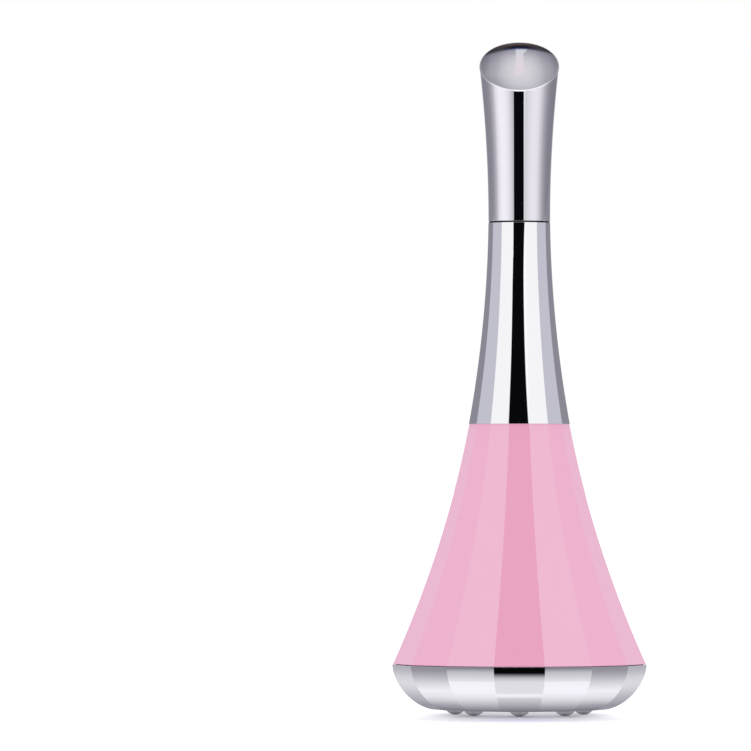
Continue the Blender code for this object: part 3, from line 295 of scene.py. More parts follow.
def wall(half, low, high, count, low_edge=0.0, high_edge=0.0, steps=4):
    """A smooth upright profile, rounded over at its ends."""
    rows = []
    lean = math.atan2(-slope(half, low + low_edge), 1.0)
    start = low
    if low_edge:
        centre_z = low + low_edge
        start = centre_z + low_edge * math.sin(lean)
        centre = half(start) - low_edge * math.cos(lean)
        for turn in levels(-math.pi / 2, lean, steps + 1)[:-1]:
            rows.append((centre + low_edge * math.cos(turn), centre_z + low_edge * math.sin(turn),
                         math.cos(turn), math.sin(turn)))
    end = high
    finish = []
    if high_edge:
        lean = math.atan2(-slope(half, high - high_edge), 1.0)
        centre_z = high - high_edge
        end = centre_z + high_edge * math.sin(lean)
        centre = half(end) - high_edge * math.cos(lean)
        for turn in levels(lean, math.pi / 2, steps + 1)[1:]:
            finish.append((centre + high_edge * math.cos(turn), centre_z + high_edge * math.sin(turn),
                           math.cos(turn), math.sin(turn)))
    for z in levels(start, end, count):
        lean = math.atan2(-slope(half, z), 1.0)
        rows.append((half(z), z, math.cos(lean), math.sin(lean)))
    return rows + finish


def inner_wall(half, low, high, count):
    rows = []
    for z in levels(low, high, count):
        lean = math.atan2(slope(half, z), 1.0)
        rows.append((half(z), z, -math.cos(lean), math.sin(lean)))
    return rows


def flat(outer, inner, z, up):
    return [(outer, z, 0.0, up), (inner, z, 0.0, up)]


def pipe(radius, low, high, out):
    return [(radius, low, out, 0.0), (radius, high, out, 0.0)]


def neck_half(z):
    down = (CAP_SEAM_Z - z) / NECK_HEIGHT
    flare = NECK_STRAIGHT_SHARE * down + (1 - NECK_STRAIGHT_SHARE) * down ** 2
    return NECK_TOP_HALF + (NECK_FOOT_HALF - NECK_TOP_HALF) * flare


def skirt_half(z):
    down = (NECK_SEAM_Z - z) / SKIRT_HEIGHT
    flare = SKIRT_STRAIGHT_SHARE * down + (1 - SKIRT_STRAIGHT_SHARE) * down ** 2
    return SKIRT_TOP_HALF + (SKIRT_FOOT_HALF - SKIRT_TOP_HALF) * flare


def cap_radius(z):
    up = (z - CAP_SEAM_Z) / CAP_AXIS_HEIGHT
    return CAP_MOUTH_RADIUS + CAP_MOUTH_PROUD + CAP_FLARE * up ** 2


def neck_inner(z):
    return neck_half(z) - NECK_WALL


def skirt_inner(z):
    return skirt_half(z) - SKIRT_WALL


def base_spigot(z):
    return skirt_inner(z) - GAP


def build_neck(material):
    top = CAP_SEAM_Z - GAP / 2 - NECK_SUNK
    foot = NECK_CUT_Z
    lip_foot = top - NECK_LIP
    section = Faceted(FACET_EDGE, NECK_CROWN)
    skin = Skin()
    outer = wall(neck_half, foot, top, 44, SEAM_EDGE / 3, MOUTH_EDGE)
    skin.runs(section, outer)
    rim = outer[-1][0]
    bore_edge = 0.2 * MM
    like = rim
    skin.grid([section.row(rim, top, 0.0, 1.0),
               section.ring(TUBE_CLEAR + bore_edge, top, 0.0, 1.0, like)])
    fillet = []
    for turn in levels(0.0, math.pi / 2, 4):
        fillet.append(section.ring(TUBE_CLEAR + bore_edge * (1 - math.sin(turn)),
                                   top - bore_edge * (1 - math.cos(turn)),
                                   -math.sin(turn), math.cos(turn), like))
    skin.grid(fillet)
    skin.grid([section.ring(TUBE_CLEAR, top - bore_edge, -1.0, 0.0, like),
               section.ring(TUBE_CLEAR, lip_foot, -1.0, 0.0, like)])
    skin.grid([section.ring(TUBE_CLEAR, lip_foot, 0.0, -1.0, like),
               section.row(neck_inner(lip_foot), lip_foot, 0.0, -1.0)])
    skin.runs(section, inner_wall(neck_inner, foot, lip_foot, 12),
              flat(outer[0][0], neck_inner(foot), foot, -1.0))
    return skin.make("neck_sleeve", material)


def build_skirt(material):
    top = NECK_CUT_Z
    foot = SKIRT_SEAM_Z + SEAM_RISE
    section = Faceted(0.16 * MM)
    skin = Skin()
    outer = wall(skirt_half, foot, top, 48, SEAM_EDGE, SEAM_EDGE / 3)
    collar_half = neck_inner(top) - GAP
    bore_half = collar_half - SPIGOT_WALL
    skin.runs(section, outer, flat(outer[-1][0], collar_half, top, 1.0),
              pipe(collar_half, top, SKIRT_COLLAR_Z, 1.0),
              flat(collar_half, bore_half, SKIRT_COLLAR_Z, 1.0),
              [(bore_half, SKIRT_COLLAR_Z, -1.0, 0.0),
               (bore_half, top, -1.0, 0.0), (skirt_inner(top - SKIRT_WALL), top - SKIRT_WALL, -1.0, 0.0)],
              inner_wall(skirt_inner, foot, top - SKIRT_WALL, 16),
              flat(outer[0][0], skirt_inner(foot), foot, -1.0))
    return skin.make("skirt_handle", material)


def bowl(flat_half, rim_half, rim_z, depth, count):
    """The rounded bowl from rim to flat, with its outward normals."""
    rows = []
    for turn in levels(0.0, math.pi / 2, count):
        wide = max(math.cos(turn), 0.0)
        deep = math.sin(turn)
        out = depth * deep ** (BASE_POWER - 1) * wide
        down = (rim_half - flat_half) * wide ** (BASE_POWER - 1) * deep
        size = math.hypot(out, down)
        if size < EPS * MM:
            out, down, size = 1.0, 0.0, 1.0
        rows.append((flat_half + (rim_half - flat_half) * wide ** BASE_POWER,
                     rim_z - depth * deep ** BASE_POWER, out / size, -down / size))
    return rows


def bead_spots():
    return [around(BEAD_RING_RADIUS, TURN * index / BEAD_COUNT - math.pi / 2)
            for index in range(BEAD_COUNT)]


def plate_with_holes(skin, outline, holes, z, up):
    """A flat face inside an outline with round holes."""
    points = [Vector((point.x, point.y)) for point in outline]
    edges = [(index, (index + 1) % len(points)) for index in range(len(points))]
    for spot, radius, count in holes:
        first = len(points)
        for step in range(count):
            angle = TURN * step / count
            points.append(Vector((spot.x + radius * math.cos(angle),
                                  spot.y + radius * math.sin(angle))))
        edges += [(first + step, first + (step + 1) % count) for step in range(count)]
    result = delaunay_2d_cdt(points, edges, [], 0, EPS * MM)
    corners = [Vector((point.x, point.y, z)) for point in result[0]]
    kept = []
    for triangle in result[2]:
        middle = sum((corners[index] for index in triangle), Vector()) / 3
        inside = any((middle - Vector((spot.x, spot.y, z))).length < radius * 0.985
                     for spot, radius, count in holes)
        if not inside:
            kept.append(triangle)
    skin.triangles(corners, kept, Vector((0.0, 0.0, up)))


def build_base(material):
    rim = SKIRT_SEAM_Z + SEAM_RISE - SEAM_LINE
    section = Faceted(0.14 * MM)
    skin = Skin()
    outer = bowl(BASE_FLAT_HALF, SKIRT_FOOT_HALF, BASE_RIM_Z, BASE_RIM_Z - BASE_FLAT_Z, 34)
    while outer[0][3] > -math.sin(RIM_LEAN):
        outer.pop(0)
    half, z, out, up = outer[0]
    half -= (rim - z) * up / out
    lip = [(half - RIM_EDGE * (1 - math.cos(turn)), rim - RIM_EDGE * (1 - math.sin(turn)),
            math.cos(turn), math.sin(turn)) for turn in levels(math.pi / 2, -RIM_LEAN, 4)]
    profile = lip + outer
    skin.runs(section, profile)
    skirt_foot = SKIRT_SEAM_Z + GAP / 2
    rabbet = BASE_RIM_Z - 0.9 * MM
    groove = base_spigot(skirt_foot) + 2 * GAP + 1.0 * MM
    spigot = base_spigot(skirt_foot)
    skin.runs(section, flat(profile[0][0], groove, rim, 1.0), pipe(groove, rabbet, rim, -1.0),
              flat(groove, spigot, rabbet, 1.0), pipe(spigot, rabbet, skirt_foot, 1.0),
              [(spigot, skirt_foot, 1.0, 0.5),
               (base_spigot(BASE_COLLAR_Z), BASE_COLLAR_Z, 1.0, 0.5)],
              flat(base_spigot(BASE_COLLAR_Z), base_spigot(BASE_COLLAR_Z) - SPIGOT_WALL,
                   BASE_COLLAR_Z, 1.0),
              [(base_spigot(BASE_COLLAR_Z) - SPIGOT_WALL, BASE_COLLAR_Z, -1.0, -0.5),
               (base_spigot(BASE_RIM_Z) - SPIGOT_WALL, BASE_RIM_Z, -1.0, -0.5)])
    inner = []
    for half, z, out, up in bowl(BASE_FLAT_HALF - BASE_WALL / 2,
                                 base_spigot(BASE_RIM_Z) - SPIGOT_WALL, BASE_RIM_Z,
                                 BASE_RIM_Z - BASE_FLOOR_Z, 14):
        inner.append((half, z, -out, -up))
    skin.runs(section, inner)
    seat_z = BASE_FLAT_Z + BEAD_SEAT_DEPTH
    mouth = 0.08 * MM
    seat = BEAD_HEAD_RADIUS + GAP - 0.1 * MM
    hole = BEAD_STEM_RADIUS + GAP
    spots = bead_spots()
    outline = section.row(BASE_FLAT_HALF, BASE_FLAT_Z, 0.0, -1.0)[0]
    plate_with_holes(skin, outline, [(spot, seat + mouth, SMALL_COLUMNS) for spot in spots],
                     BASE_FLAT_Z, -1.0)
    inner_outline = section.row(inner[-1][0], BASE_FLOOR_Z, 0.0, 1.0)[0]
    plate_with_holes(skin, inner_outline, [(spot, hole, SMALL_COLUMNS) for spot in spots],
                     BASE_FLOOR_Z, 1.0)
    for spot in spots:
        socket = Round(SMALL_COLUMNS, (spot.x, spot.y))
        lip = [(seat + mouth * (1 - math.sin(turn)), BASE_FLAT_Z + mouth * (1 - math.cos(turn)),
                -math.sin(turn), -math.cos(turn)) for turn in levels(0.0, math.pi / 2, 4)]
        skin.runs(socket, lip, pipe(seat, BASE_FLAT_Z + mouth, seat_z, -1.0),
                  flat(seat, hole, seat_z, -1.0), pipe(hole, seat_z, BASE_FLOOR_Z, -1.0))
    return skin.make("base_bowl", material)


def build_boss(number, spot, material):
    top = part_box("chassis")[0].z - GAP
    radius = 2.6 * MM
    pilot = 0.9 * MM
    floor = top - 7.0 * MM
    skin = Skin()
    section = Round(SMALL_COLUMNS, (spot.x, spot.y))
    edge = 0.15 * MM
    outer = wall(lambda z: radius, BASE_FLOOR_Z, top, 2, 0.0, edge)
    skin.runs(section, outer, flat(outer[-1][0], pilot, top, 1.0), pipe(pilot, floor, top, -1.0),
              flat(pilot, 0.0, floor, 1.0), flat(radius, 0.0, BASE_FLOOR_Z, -1.0))
    return skin.make(f"screw_boss_{number}", material)


def build_bead(number, spot, material):
    head_top = BASE_FLAT_Z + BEAD_SEAT_DEPTH - GAP
    ring_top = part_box("bead_contact_ring")[1].z
    rivet_low = ring_top + GAP / 3
    rivet_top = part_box(f"bead_{number}")[1].z
    rise = BASE_FLAT_Z
    centre = (BEAD_HEAD_RADIUS ** 2 + rise ** 2 - BEAD_TIP_RADIUS ** 2) / (2 * rise)
    sphere = math.hypot(BEAD_TIP_RADIUS, centre)
    widest = math.atan2(BEAD_HEAD_RADIUS, centre - rise)
    tip = math.atan2(BEAD_TIP_RADIUS, centre)
    dome = [(BEAD_HEAD_RADIUS, head_top, 1.0, 0.0)]
    dome += [(BEAD_HEAD_RADIUS, rise, math.sin(widest), -math.cos(widest))]
    arc = [(sphere * math.sin(turn), centre - sphere * math.cos(turn),
            math.sin(turn), -math.cos(turn)) for turn in levels(widest, tip, 12)]
    edge = 0.12 * MM
    rivet = wall(lambda z: BEAD_RIVET_RADIUS, rivet_low, rivet_top, 2, edge, edge)
    section = Round(SMALL_COLUMNS, (spot.x, spot.y))
    skin = Skin()
    skin.runs(section, arc, pipe(BEAD_HEAD_RADIUS, rise, head_top, 1.0),
              [(BEAD_TIP_RADIUS, 0.0, 0.0, -1.0), (0.0, 0.0, 0.0, -1.0)],
              flat(BEAD_HEAD_RADIUS, BEAD_STEM_RADIUS, head_top, 1.0),
              pipe(BEAD_STEM_RADIUS, head_top, rivet_low, 1.0),
              flat(rivet[0][0], BEAD_STEM_RADIUS, rivet_low, -1.0), rivet,
              flat(rivet[-1][0], 0.0, rivet_top, 1.0))
    return skin.make(f"bead_stud_{number}", material)


# The ridge's section over one pitch: place from its middle in millimetres, share of its depth
RIDGE = ((-1.0, 0.0), (-0.62, 0.0), (-0.46, 0.0), (-0.40, 0.03), (-0.36, 0.12), (-0.22, 0.86),
         (-0.18, 0.97), (-0.13, 1.0), (0.0, 1.0), (0.13, 1.0), (0.18, 0.97), (0.22, 0.86),
         (0.36, 0.12), (0.40, 0.03), (0.46, 0.0), (0.62, 0.0))


def ridge_share(offset, spread):
    """Share of the thread's depth at a distance along the axis from a ridge's middle."""
    place = abs(offset) / MM
    place = max(place - spread / MM, 0.0) if place > spread / MM else 0.0
    previous = (0.0, 1.0)
    for station in RIDGE[8:]:
        if place <= station[0]:
            width = station[0] - previous[0]
            part = (place - previous[0]) / width if width else 0.0
            return previous[1] + (station[1] - previous[1]) * part
        previous = station
    return 0.0


def smooth_step(value):
    value = min(max(value, 0.0), 1.0)
    return value * value * (3 - 2 * value)


def thread_height(angle, z, first, last, spread):
    """How far the ridge stands out at an angle and height; it runs out at both ends."""
    phase = z - THREAD_LEAD * angle / TURN - THREAD_FOOT_Z
    offset = (phase + THREAD_PITCH / 2) % THREAD_PITCH - THREAD_PITCH / 2
    middle = z - offset
    run_out = 0.35 * MM
    ramp = smooth_step((middle - first) / run_out) * smooth_step((last - middle) / run_out)
    return ridge_share(offset, spread) * ramp


def thread_patch(skin, radius, depth, low, high, first, last, spread, out):
    """A threaded wall between two heights, its rows laid along the helix."""
    offsets = sorted({round(place * MM + side * spread, 9) for place, share in RIDGE
                      for side in (-1, 1) if abs(place * MM + side * spread) <= THREAD_PITCH / 2})
    start = math.floor((low - THREAD_LEAD - THREAD_FOOT_Z) / THREAD_PITCH) - 1
    finish = math.ceil((high - THREAD_FOOT_Z) / THREAD_PITCH) + 1
    rows = []
    for pitch in range(start, finish + 1):
        rows += [THREAD_FOOT_Z + pitch * THREAD_PITCH + offset for offset in offsets]
    rows = sorted(set(round(row, 9) for row in rows))

    def spot(angle, z):
        height = thread_height(angle, z, first, last, spread)
        return around(radius + depth * height, angle, z)

    grid = []
    for row in rows:
        points = []
        normals = []
        for step in range(ROUND_COLUMNS + 1):
            angle = TURN * step / ROUND_COLUMNS
            z = min(max(row + THREAD_LEAD * angle / TURN, low), high)
            points.append(spot(angle, z))
            turn_tangent = spot(angle + 1e-3, z) - spot(angle - 1e-3, z)
            rise_tangent = spot(angle, z + 0.02 * MM) - spot(angle, z - 0.02 * MM)
            normals.append(turn_tangent.cross(rise_tangent).normalized() * out)
        points[-1] = points[-1].copy()
        grid.append((points, normals))
    skin.grid(grid, closed=False)
    return spot


def build_tube(material):
    skin = Skin()
    section = Round(ROUND_COLUMNS)
    low = THREAD_FOOT_Z - 1.2 * MM
    edge = 0.18 * MM
    high = TUBE_TOP_Z - edge
    thread_patch(skin, TUBE_RADIUS, THREAD_DEPTH, low, high, THREAD_FOOT_Z,
                 THREAD_FOOT_Z + THREAD_LENGTH, 0.0, 1.0)
    flange_top = TUBE_FOOT_Z + 1.0 * MM
    floor = TUBE_FOOT_Z + 0.8 * MM
    hole = 1.5 * MM
    lip = [(TUBE_RADIUS - edge * (1 - math.cos(turn)), high + edge * math.sin(turn),
            math.cos(turn), math.sin(turn)) for turn in levels(0.0, math.pi / 2, 5)]
    lip += [(TUBE_BORE_RADIUS + edge * (1 - math.sin(turn)), high + edge * math.cos(turn),
             -math.sin(turn), math.cos(turn)) for turn in levels(0.0, math.pi / 2, 5)]
    skin.runs(section, lip, pipe(TUBE_BORE_RADIUS, floor, high, -1.0),
              flat(TUBE_BORE_RADIUS, hole, floor, 1.0), pipe(hole, TUBE_FOOT_Z, floor, -1.0),
              flat(FLANGE_RADIUS, hole, TUBE_FOOT_Z, -1.0),
              pipe(FLANGE_RADIUS, TUBE_FOOT_Z, flange_top, 1.0),
              flat(FLANGE_RADIUS, TUBE_RADIUS, flange_top, 1.0),
              pipe(TUBE_RADIUS, flange_top, low, 1.0))
    return skin.make("threaded_tube", material)


def build_seal(material):
    inner = TUBE_CLEAR
    outer = inner + 0.5 * MM
    edge = 0.16 * MM
    skin = Skin()
    section = Round(ROUND_COLUMNS)
    # The seal's washer lip reaches out nearly to the cap's mouth and fills the seam between cap and neck
    # with black: a dark sheet that stands in for the seam's shade, painted shade
    seam_shade_washer = CAP_MOUTH_RADIUS - 0.1 * MM
    low = SEAL_FOOT_Z - GAP + 0.01 * MM
    high = SEAL_FOOT_Z - 0.05 * MM
    lip = wall(lambda z: seam_shade_washer, low, high, 2, 0.05 * MM, 0.05 * MM)
    side = wall(lambda z: outer, high, SEAL_TOP_Z, 2, 0.0, edge)
    skin.runs(section, lip, flat(lip[-1][0], outer, high, 1.0), side,
              flat(side[-1][0], inner, SEAL_TOP_Z, 1.0), pipe(inner, low, SEAL_TOP_Z, -1.0),
              flat(lip[0][0], inner, low, -1.0))
    return skin.make("seal_ring", material)


def build_cell(sleeve_material, metal_material):
    shoulder = CELL_TOP_Z - 1.0 * MM
    nub = 1.9 * MM
    step = 0.25 * MM
    foot = CELL_FOOT_Z + step
    crimp = 0.55 * MM
    section = Round(SMALL_COLUMNS * 2)
    film = 0.12 * MM
    skin = Skin()
    side = wall(lambda z: CELL_RADIUS, foot, shoulder, 3, 0.4 * MM, 0.4 * MM)
    inner = CELL_RADIUS - 1.3 * MM
    skin.runs(section, side, flat(side[-1][0], inner, shoulder, 1.0),
              pipe(inner, shoulder - film, shoulder, -1.0),
              flat(inner, side[0][0] * 0.5, foot + 0.6 * MM, -1.0)[:0] or
              pipe(CELL_RADIUS - crimp, foot, foot + 0.2 * MM, -1.0),
              flat(side[0][0], CELL_RADIUS - crimp, foot, -1.0))
    sleeve = skin.make("cell_sleeve", sleeve_material)
    skin = Skin()
    edge = 0.25 * MM
    post = wall(lambda z: nub, shoulder - film, CELL_TOP_Z, 2, 0.0, edge)
    can = wall(lambda z: CELL_RADIUS - film, foot + 0.05 * MM, shoulder - film, 2, 0.3 * MM, 0.3 * MM)
    button = 3.4 * MM
    skin.runs(section, post, flat(post[-1][0], 0.0, CELL_TOP_Z, 1.0),
              flat(can[-1][0], nub, shoulder - film, 1.0), can,
              flat(can[0][0], button, foot + 0.05 * MM, -1.0),
              pipe(button, CELL_FOOT_Z, foot + 0.05 * MM, 1.0),
              flat(button, 0.0, CELL_FOOT_Z, -1.0))
    metal = skin.make("cell_can", metal_material)
    return sleeve, metal


class CapEnd:
    """The crowned, slanted end surface of the cap."""
    RIM = cap_radius(CAP_END_Z) / math.cos(CAP_END_SLANT)
    TILT = Matrix.Rotation(CAP_END_SLANT, 3, "X")
    ORIGIN = Vector((0.0, 0.0, CAP_END_Z))

    def crown(self, x, y):
        return CAP_END_RISE * (1 - (x * x + y * y) / self.RIM ** 2)

    def local(self, point):
        return self.TILT.transposed() @ (point - self.ORIGIN)

    def normal(self, local):
        lean = 2 * CAP_END_RISE / self.RIM ** 2
        return (self.TILT @ Vector((lean * local.x, lean * local.y, 1.0))).normalized()

    def height(self, point):
        """Signed distance above the end surface."""
        local = self.local(point)
        lean = 2 * CAP_END_RISE / self.RIM ** 2
        steep = math.sqrt(1 + lean * lean * (local.x ** 2 + local.y ** 2))
        return (local.z - self.crown(local.x, local.y)) / steep

    def surface(self, x, y):
        return self.ORIGIN + self.TILT @ Vector((x, y, self.crown(x, y)))


# The edge of the cap's end: share of its width, share of its turn; it is flattest in the middle
CAP_EDGE_TURNS = ((0.0, 0.0), (0.06, 0.30), (0.12, 0.56), (0.25, 0.62), (0.5, 0.75), (0.75, 0.87),
                  (0.88, 0.94), (0.94, 0.97), (1.0, 1.0))


def flare_normal(angle, z):
    lean = slope(cap_radius, z)
    return Vector((math.cos(angle), math.sin(angle), -lean)).normalized()


def build_cap(material):
    end = CapEnd()
    skin = Skin()
    section = Round(ROUND_COLUMNS)
    foot = CAP_SEAM_Z + GAP / 2
    edge_rows = wall(cap_radius, foot, foot + 3 * MOUTH_EDGE, 2, MOUTH_EDGE, 0.0)[:5]
    start = edge_rows[-1][1]
    skin.runs(section, edge_rows)
    columns = []
    for step in range(ROUND_COLUMNS):
        angle = TURN * step / ROUND_COLUMNS
        low = CAP_SEAM_Z
        high = CAP_END_Z + CAP_AXIS_HEIGHT
        edge = CAP_EDGE + CAP_EDGE_MORE * (1 - max(math.sin(angle), 0.0) ** 2)
        for _ in range(60):
            z = (low + high) / 2
            centre = around(cap_radius(z), angle, z) - flare_normal(angle, z) * edge
            if end.height(centre) < -edge:
                low = z
            else:
                high = z
        side = flare_normal(angle, z)
        top = end.normal(end.local(centre))
        columns.append((angle, z, edge, centre, side, top))
    rows = []
    for share in levels(0.0, 1.0, 46):
        points = []
        normals = []
        for angle, contact, edge, centre, side, top in columns:
            z = start + (contact - start) * share
            points.append(around(cap_radius(z), angle, z))
            normals.append(flare_normal(angle, z))
        rows.append((points, normals))
    skin.grid(rows)
    rows = []
    for place, share in CAP_EDGE_TURNS:
        points = []
        normals = []
        for angle, contact, edge, centre, side, top in columns:
            turn = side.angle(top)
            spoke = (side * math.sin((1 - place) * turn) + top * math.sin(place * turn)) / math.sin(turn)
            points.append(centre + spoke * edge)
            normals.append((side * math.sin((1 - share) * turn)
                            + top * math.sin(share * turn)) / math.sin(turn))
        rows.append((points, normals))
    skin.grid(rows)
    contact_row = rows[-1]
    rows = [contact_row]
    for share in levels(1.0, 0.0, 16)[1:]:
        points = []
        normals = []
        for point in contact_row[0]:
            local = end.local(point)
            x = local.x * share
            y = local.y * share
            points.append(end.surface(x, y))
            normals.append(end.normal(Vector((x, y, 0.0))))
        rows.append((points, normals))
    skin.grid(rows)
    seal_room = TUBE_CLEAR + 0.5 * MM + GAP
    seal_roof = foot + 1.0 * MM + GAP
    bore_top = TUBE_TOP_Z + GAP
    groove_top = THREAD_FOOT_Z + THREAD_LENGTH + GAP
    depth = THREAD_DEPTH
    spot = thread_patch(skin, TUBE_CLEAR, depth, seal_roof, bore_top, seal_roof - THREAD_LEAD,
                        groove_top, GAP, -1.0)
    down = Vector((0.0, 0.0, -1.0))
    angles = [TURN * step / ROUND_COLUMNS for step in range(ROUND_COLUMNS)]
    skin.grid([([around(seal_room, angle, seal_roof) for angle in angles], [down] * ROUND_COLUMNS),
               ([spot(angle, seal_roof) for angle in angles], [down] * ROUND_COLUMNS)])
    mouth_edge = 0.15 * MM
    lip = [(seal_room + mouth_edge * (1 - math.sin(turn)), foot + mouth_edge * (1 - math.cos(turn)),
            -math.sin(turn), -math.cos(turn)) for turn in levels(0.0, math.pi / 2, 4)]
    skin.runs(section, flat(edge_rows[0][0], seal_room + mouth_edge, foot, -1.0), lip,
              pipe(seal_room, foot + mouth_edge, seal_roof, -1.0),
              flat(TUBE_CLEAR, TUBE_RADIUS, bore_top, -1.0),
              pipe(TUBE_RADIUS, bore_top, CAP_ROOF_Z, -1.0),
              flat(TUBE_RADIUS, 0.0, CAP_ROOF_Z, -1.0))
    return skin.make("cap_flare", material)


# Materials
def nodes_of(tree):
    def add(kind, **settings):
        node = tree.nodes.new(kind)
        for name, value in settings.items():
            setattr(node, name, value)
        return node
    return add


def finish(name, colour, other, roughness, metallic=0.0, scale=900.0, bump=0.02, stretch=(1, 1, 1),
           fixed=None, detail=4.0, distance=0.02 * MM):
    """A surface whose colour, roughness and relief vary with noise at the given scale."""
    material = bpy.data.materials.new(name)
    material.use_nodes = True
    tree = material.node_tree
    add = nodes_of(tree)
    link = tree.links.new
    shader = tree.nodes["Principled BSDF"]
    shader.inputs["Metallic"].default_value = metallic
    for socket, value in (fixed or {}).items():
        shader.inputs[socket].default_value = value
    place = add("ShaderNodeTexCoord")
    mapping = add("ShaderNodeMapping")
    mapping.inputs["Scale"].default_value = stretch
    link(place.outputs["Object"], mapping.inputs["Vector"])
    broad = add("ShaderNodeTexNoise")
    broad.inputs["Scale"].default_value = scale / 6
    broad.inputs["Detail"].default_value = 2.0
    fine = add("ShaderNodeTexNoise")
    fine.inputs["Scale"].default_value = scale
    fine.inputs["Detail"].default_value = detail
    for noise in (broad, fine):
        link(mapping.outputs["Vector"], noise.inputs["Vector"])
    tint = add("ShaderNodeMix", data_type="RGBA")
    tint.inputs["A"].default_value = (*colour, 1.0)
    tint.inputs["B"].default_value = (*other, 1.0)
    link(broad.outputs["Fac"], tint.inputs["Factor"])
    link(tint.outputs["Result"], shader.inputs["Base Color"])
    gloss = add("ShaderNodeMapRange")
    gloss.inputs["From Min"].default_value = 0.3
    gloss.inputs["From Max"].default_value = 0.7
    gloss.inputs["To Min"].default_value = roughness[0]
    gloss.inputs["To Max"].default_value = roughness[1]
    link(fine.outputs["Fac"], gloss.inputs["Value"])
    link(gloss.outputs["Result"], shader.inputs["Roughness"])
    if bump:
        relief = add("ShaderNodeBump")
        relief.inputs["Strength"].default_value = bump
        relief.inputs["Distance"].default_value = distance
        link(fine.outputs["Fac"], relief.inputs["Height"])
        link(relief.outputs["Normal"], shader.inputs["Normal"])
    return material


CHROME_SHARE = 0.88            # of the light that chrome reflects
PEAK = 1.5                     # the brightest card, against the white of the background
CHROME_COLOUR = (CHROME_SHARE, CHROME_SHARE, CHROME_SHARE)
PINK_COLOUR = (0.86, 0.378, 0.555)

LOOKS = {
    "chrome": finish("polished_chrome", CHROME_COLOUR, (0.872, 0.872, 0.874), (0.008, 0.02), 1.0,
                     700.0, 0.01, distance=0.001 * MM),
    "chrome_inside": finish("plated_inside", (0.7, 0.7, 0.72), (0.62, 0.62, 0.65), (0.16, 0.3), 1.0,
                            900.0, 0.1),
    "pink_abs": finish("pink_moulding", PINK_COLOUR, (0.85, 0.368, 0.545), (0.085, 0.12), 0.0,
                       1500.0, 0.03, fixed={"Specular IOR Level": 1.0, "Coat Weight": 1.0,
                                            "Coat Roughness": 0.08, "IOR": 1.55}),
    "rubber": finish("black_rubber", (0.008, 0.008, 0.009), (0.016, 0.016, 0.018), (0.55, 0.75), 0.0,
                     1600.0, 0.25, fixed={"Specular IOR Level": 0.14}),
    # Satin steel, its colour made darker also to stand in for the shade under the bowl: partly painted
    # shade
    "bead_steel": finish("satin_bead_steel_and_shade", (0.33, 0.325, 0.34), (0.27, 0.265, 0.28), (0.2, 0.32), 1.0,
                         2200.0, 0.08),
    "steel": finish("brushed_steel", (0.56, 0.56, 0.58), (0.44, 0.44, 0.46), (0.22, 0.4), 1.0,
                    1800.0, 0.12, (1, 1, 0.12)),
    "nickel": finish("nickel_plate", (0.68, 0.66, 0.62), (0.58, 0.56, 0.52), (0.14, 0.28), 1.0,
                     1200.0, 0.08, (1, 1, 0.3)),
    "brass": finish("sheet_brass", (0.82, 0.62, 0.27), (0.66, 0.47, 0.18), (0.2, 0.36), 1.0,
                    1400.0, 0.1),
    "white_abs": finish("white_moulding", (0.84, 0.84, 0.82), (0.78, 0.78, 0.75), (0.4, 0.55), 0.0,
                        1500.0, 0.15),
    "black_abs": finish("black_moulding", (0.03, 0.03, 0.034), (0.055, 0.055, 0.06), (0.36, 0.52), 0.0,
                        1500.0, 0.15),
    "cell_jacket": finish("cell_jacket_film", (0.10, 0.15, 0.21), (0.12, 0.17, 0.23), (0.22, 0.34), 0.0,
                          1000.0, 0.06),
    "board": finish("solder_mask", (0.02, 0.19, 0.08), (0.03, 0.25, 0.11), (0.3, 0.45), 0.0,
                    1400.0, 0.12),
    "capacitor_can": finish("capacitor_sleeve", (0.72, 0.72, 0.74), (0.6, 0.6, 0.63), (0.2, 0.34), 1.0,
                            1500.0, 0.08),
    "tungsten": finish("sintered_weight", (0.4, 0.39, 0.38), (0.3, 0.29, 0.28), (0.34, 0.5), 1.0,
                       2600.0, 0.3),
    "lead_red": finish("red_sleeve", (0.5, 0.025, 0.025), (0.6, 0.04, 0.04), (0.35, 0.5), 0.0,
                       2000.0, 0.12),
    "lead_black": finish("black_sleeve", (0.018, 0.018, 0.02), (0.035, 0.035, 0.04), (0.35, 0.5), 0.0,
                         2000.0, 0.12),
    "lead_white": finish("white_sleeve", (0.78, 0.78, 0.76), (0.7, 0.7, 0.68), (0.35, 0.5), 0.0,
                         2000.0, 0.12),
}


def dress_nodes():
    """Give every carried-over solid the finish of its slot."""
    slots = {part["node"]: part["material_slot"] for part in frame["record"]["subparts"]}
    for name, node in frame["nodes"].items():
        look = LOOKS[slots[name]]
        if not node.data.materials:
            node.data.materials.append(look)
        for index in range(len(node.material_slots)):
            node.material_slots[index].material = look


def show(thing, body, slot_name, *replaced):
    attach(thing, body)
    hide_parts(*replaced)
    return thing


def build_object():
    dress_nodes()
    chrome = LOOKS["chrome"]
    show(build_cap(chrome), "cap", "chrome", "cap_shell")
    show(build_neck(chrome), "root", "chrome", "neck_shell")
    show(build_skirt(LOOKS["pink_abs"]), "root", "pink_abs", "skirt_shell")
    show(build_base(chrome), "root", "chrome", "base_shell")
    for number in range(1, 5):
        low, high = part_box(f"chassis_screw_{number}")
        middle = (low + high) / 2
        show(build_boss(number, middle, LOOKS["chrome_inside"]), "root", "chrome", "base_shell")
    for number, spot in enumerate(bead_spots(), 1):
        show(build_bead(number, spot, LOOKS["bead_steel"]), "root", "bead_steel", f"bead_{number}")
    show(build_tube(LOOKS["nickel"]), "root", "nickel", "battery_tube")
    show(build_seal(LOOKS["rubber"]), "root", "rubber", "cap_seal_ring")
    sleeve, metal = build_cell(LOOKS["cell_jacket"], LOOKS["steel"])
    show(sleeve, "root", "cell_jacket", "aaa_cell")
    show(metal, "root", "steel", "aaa_cell")


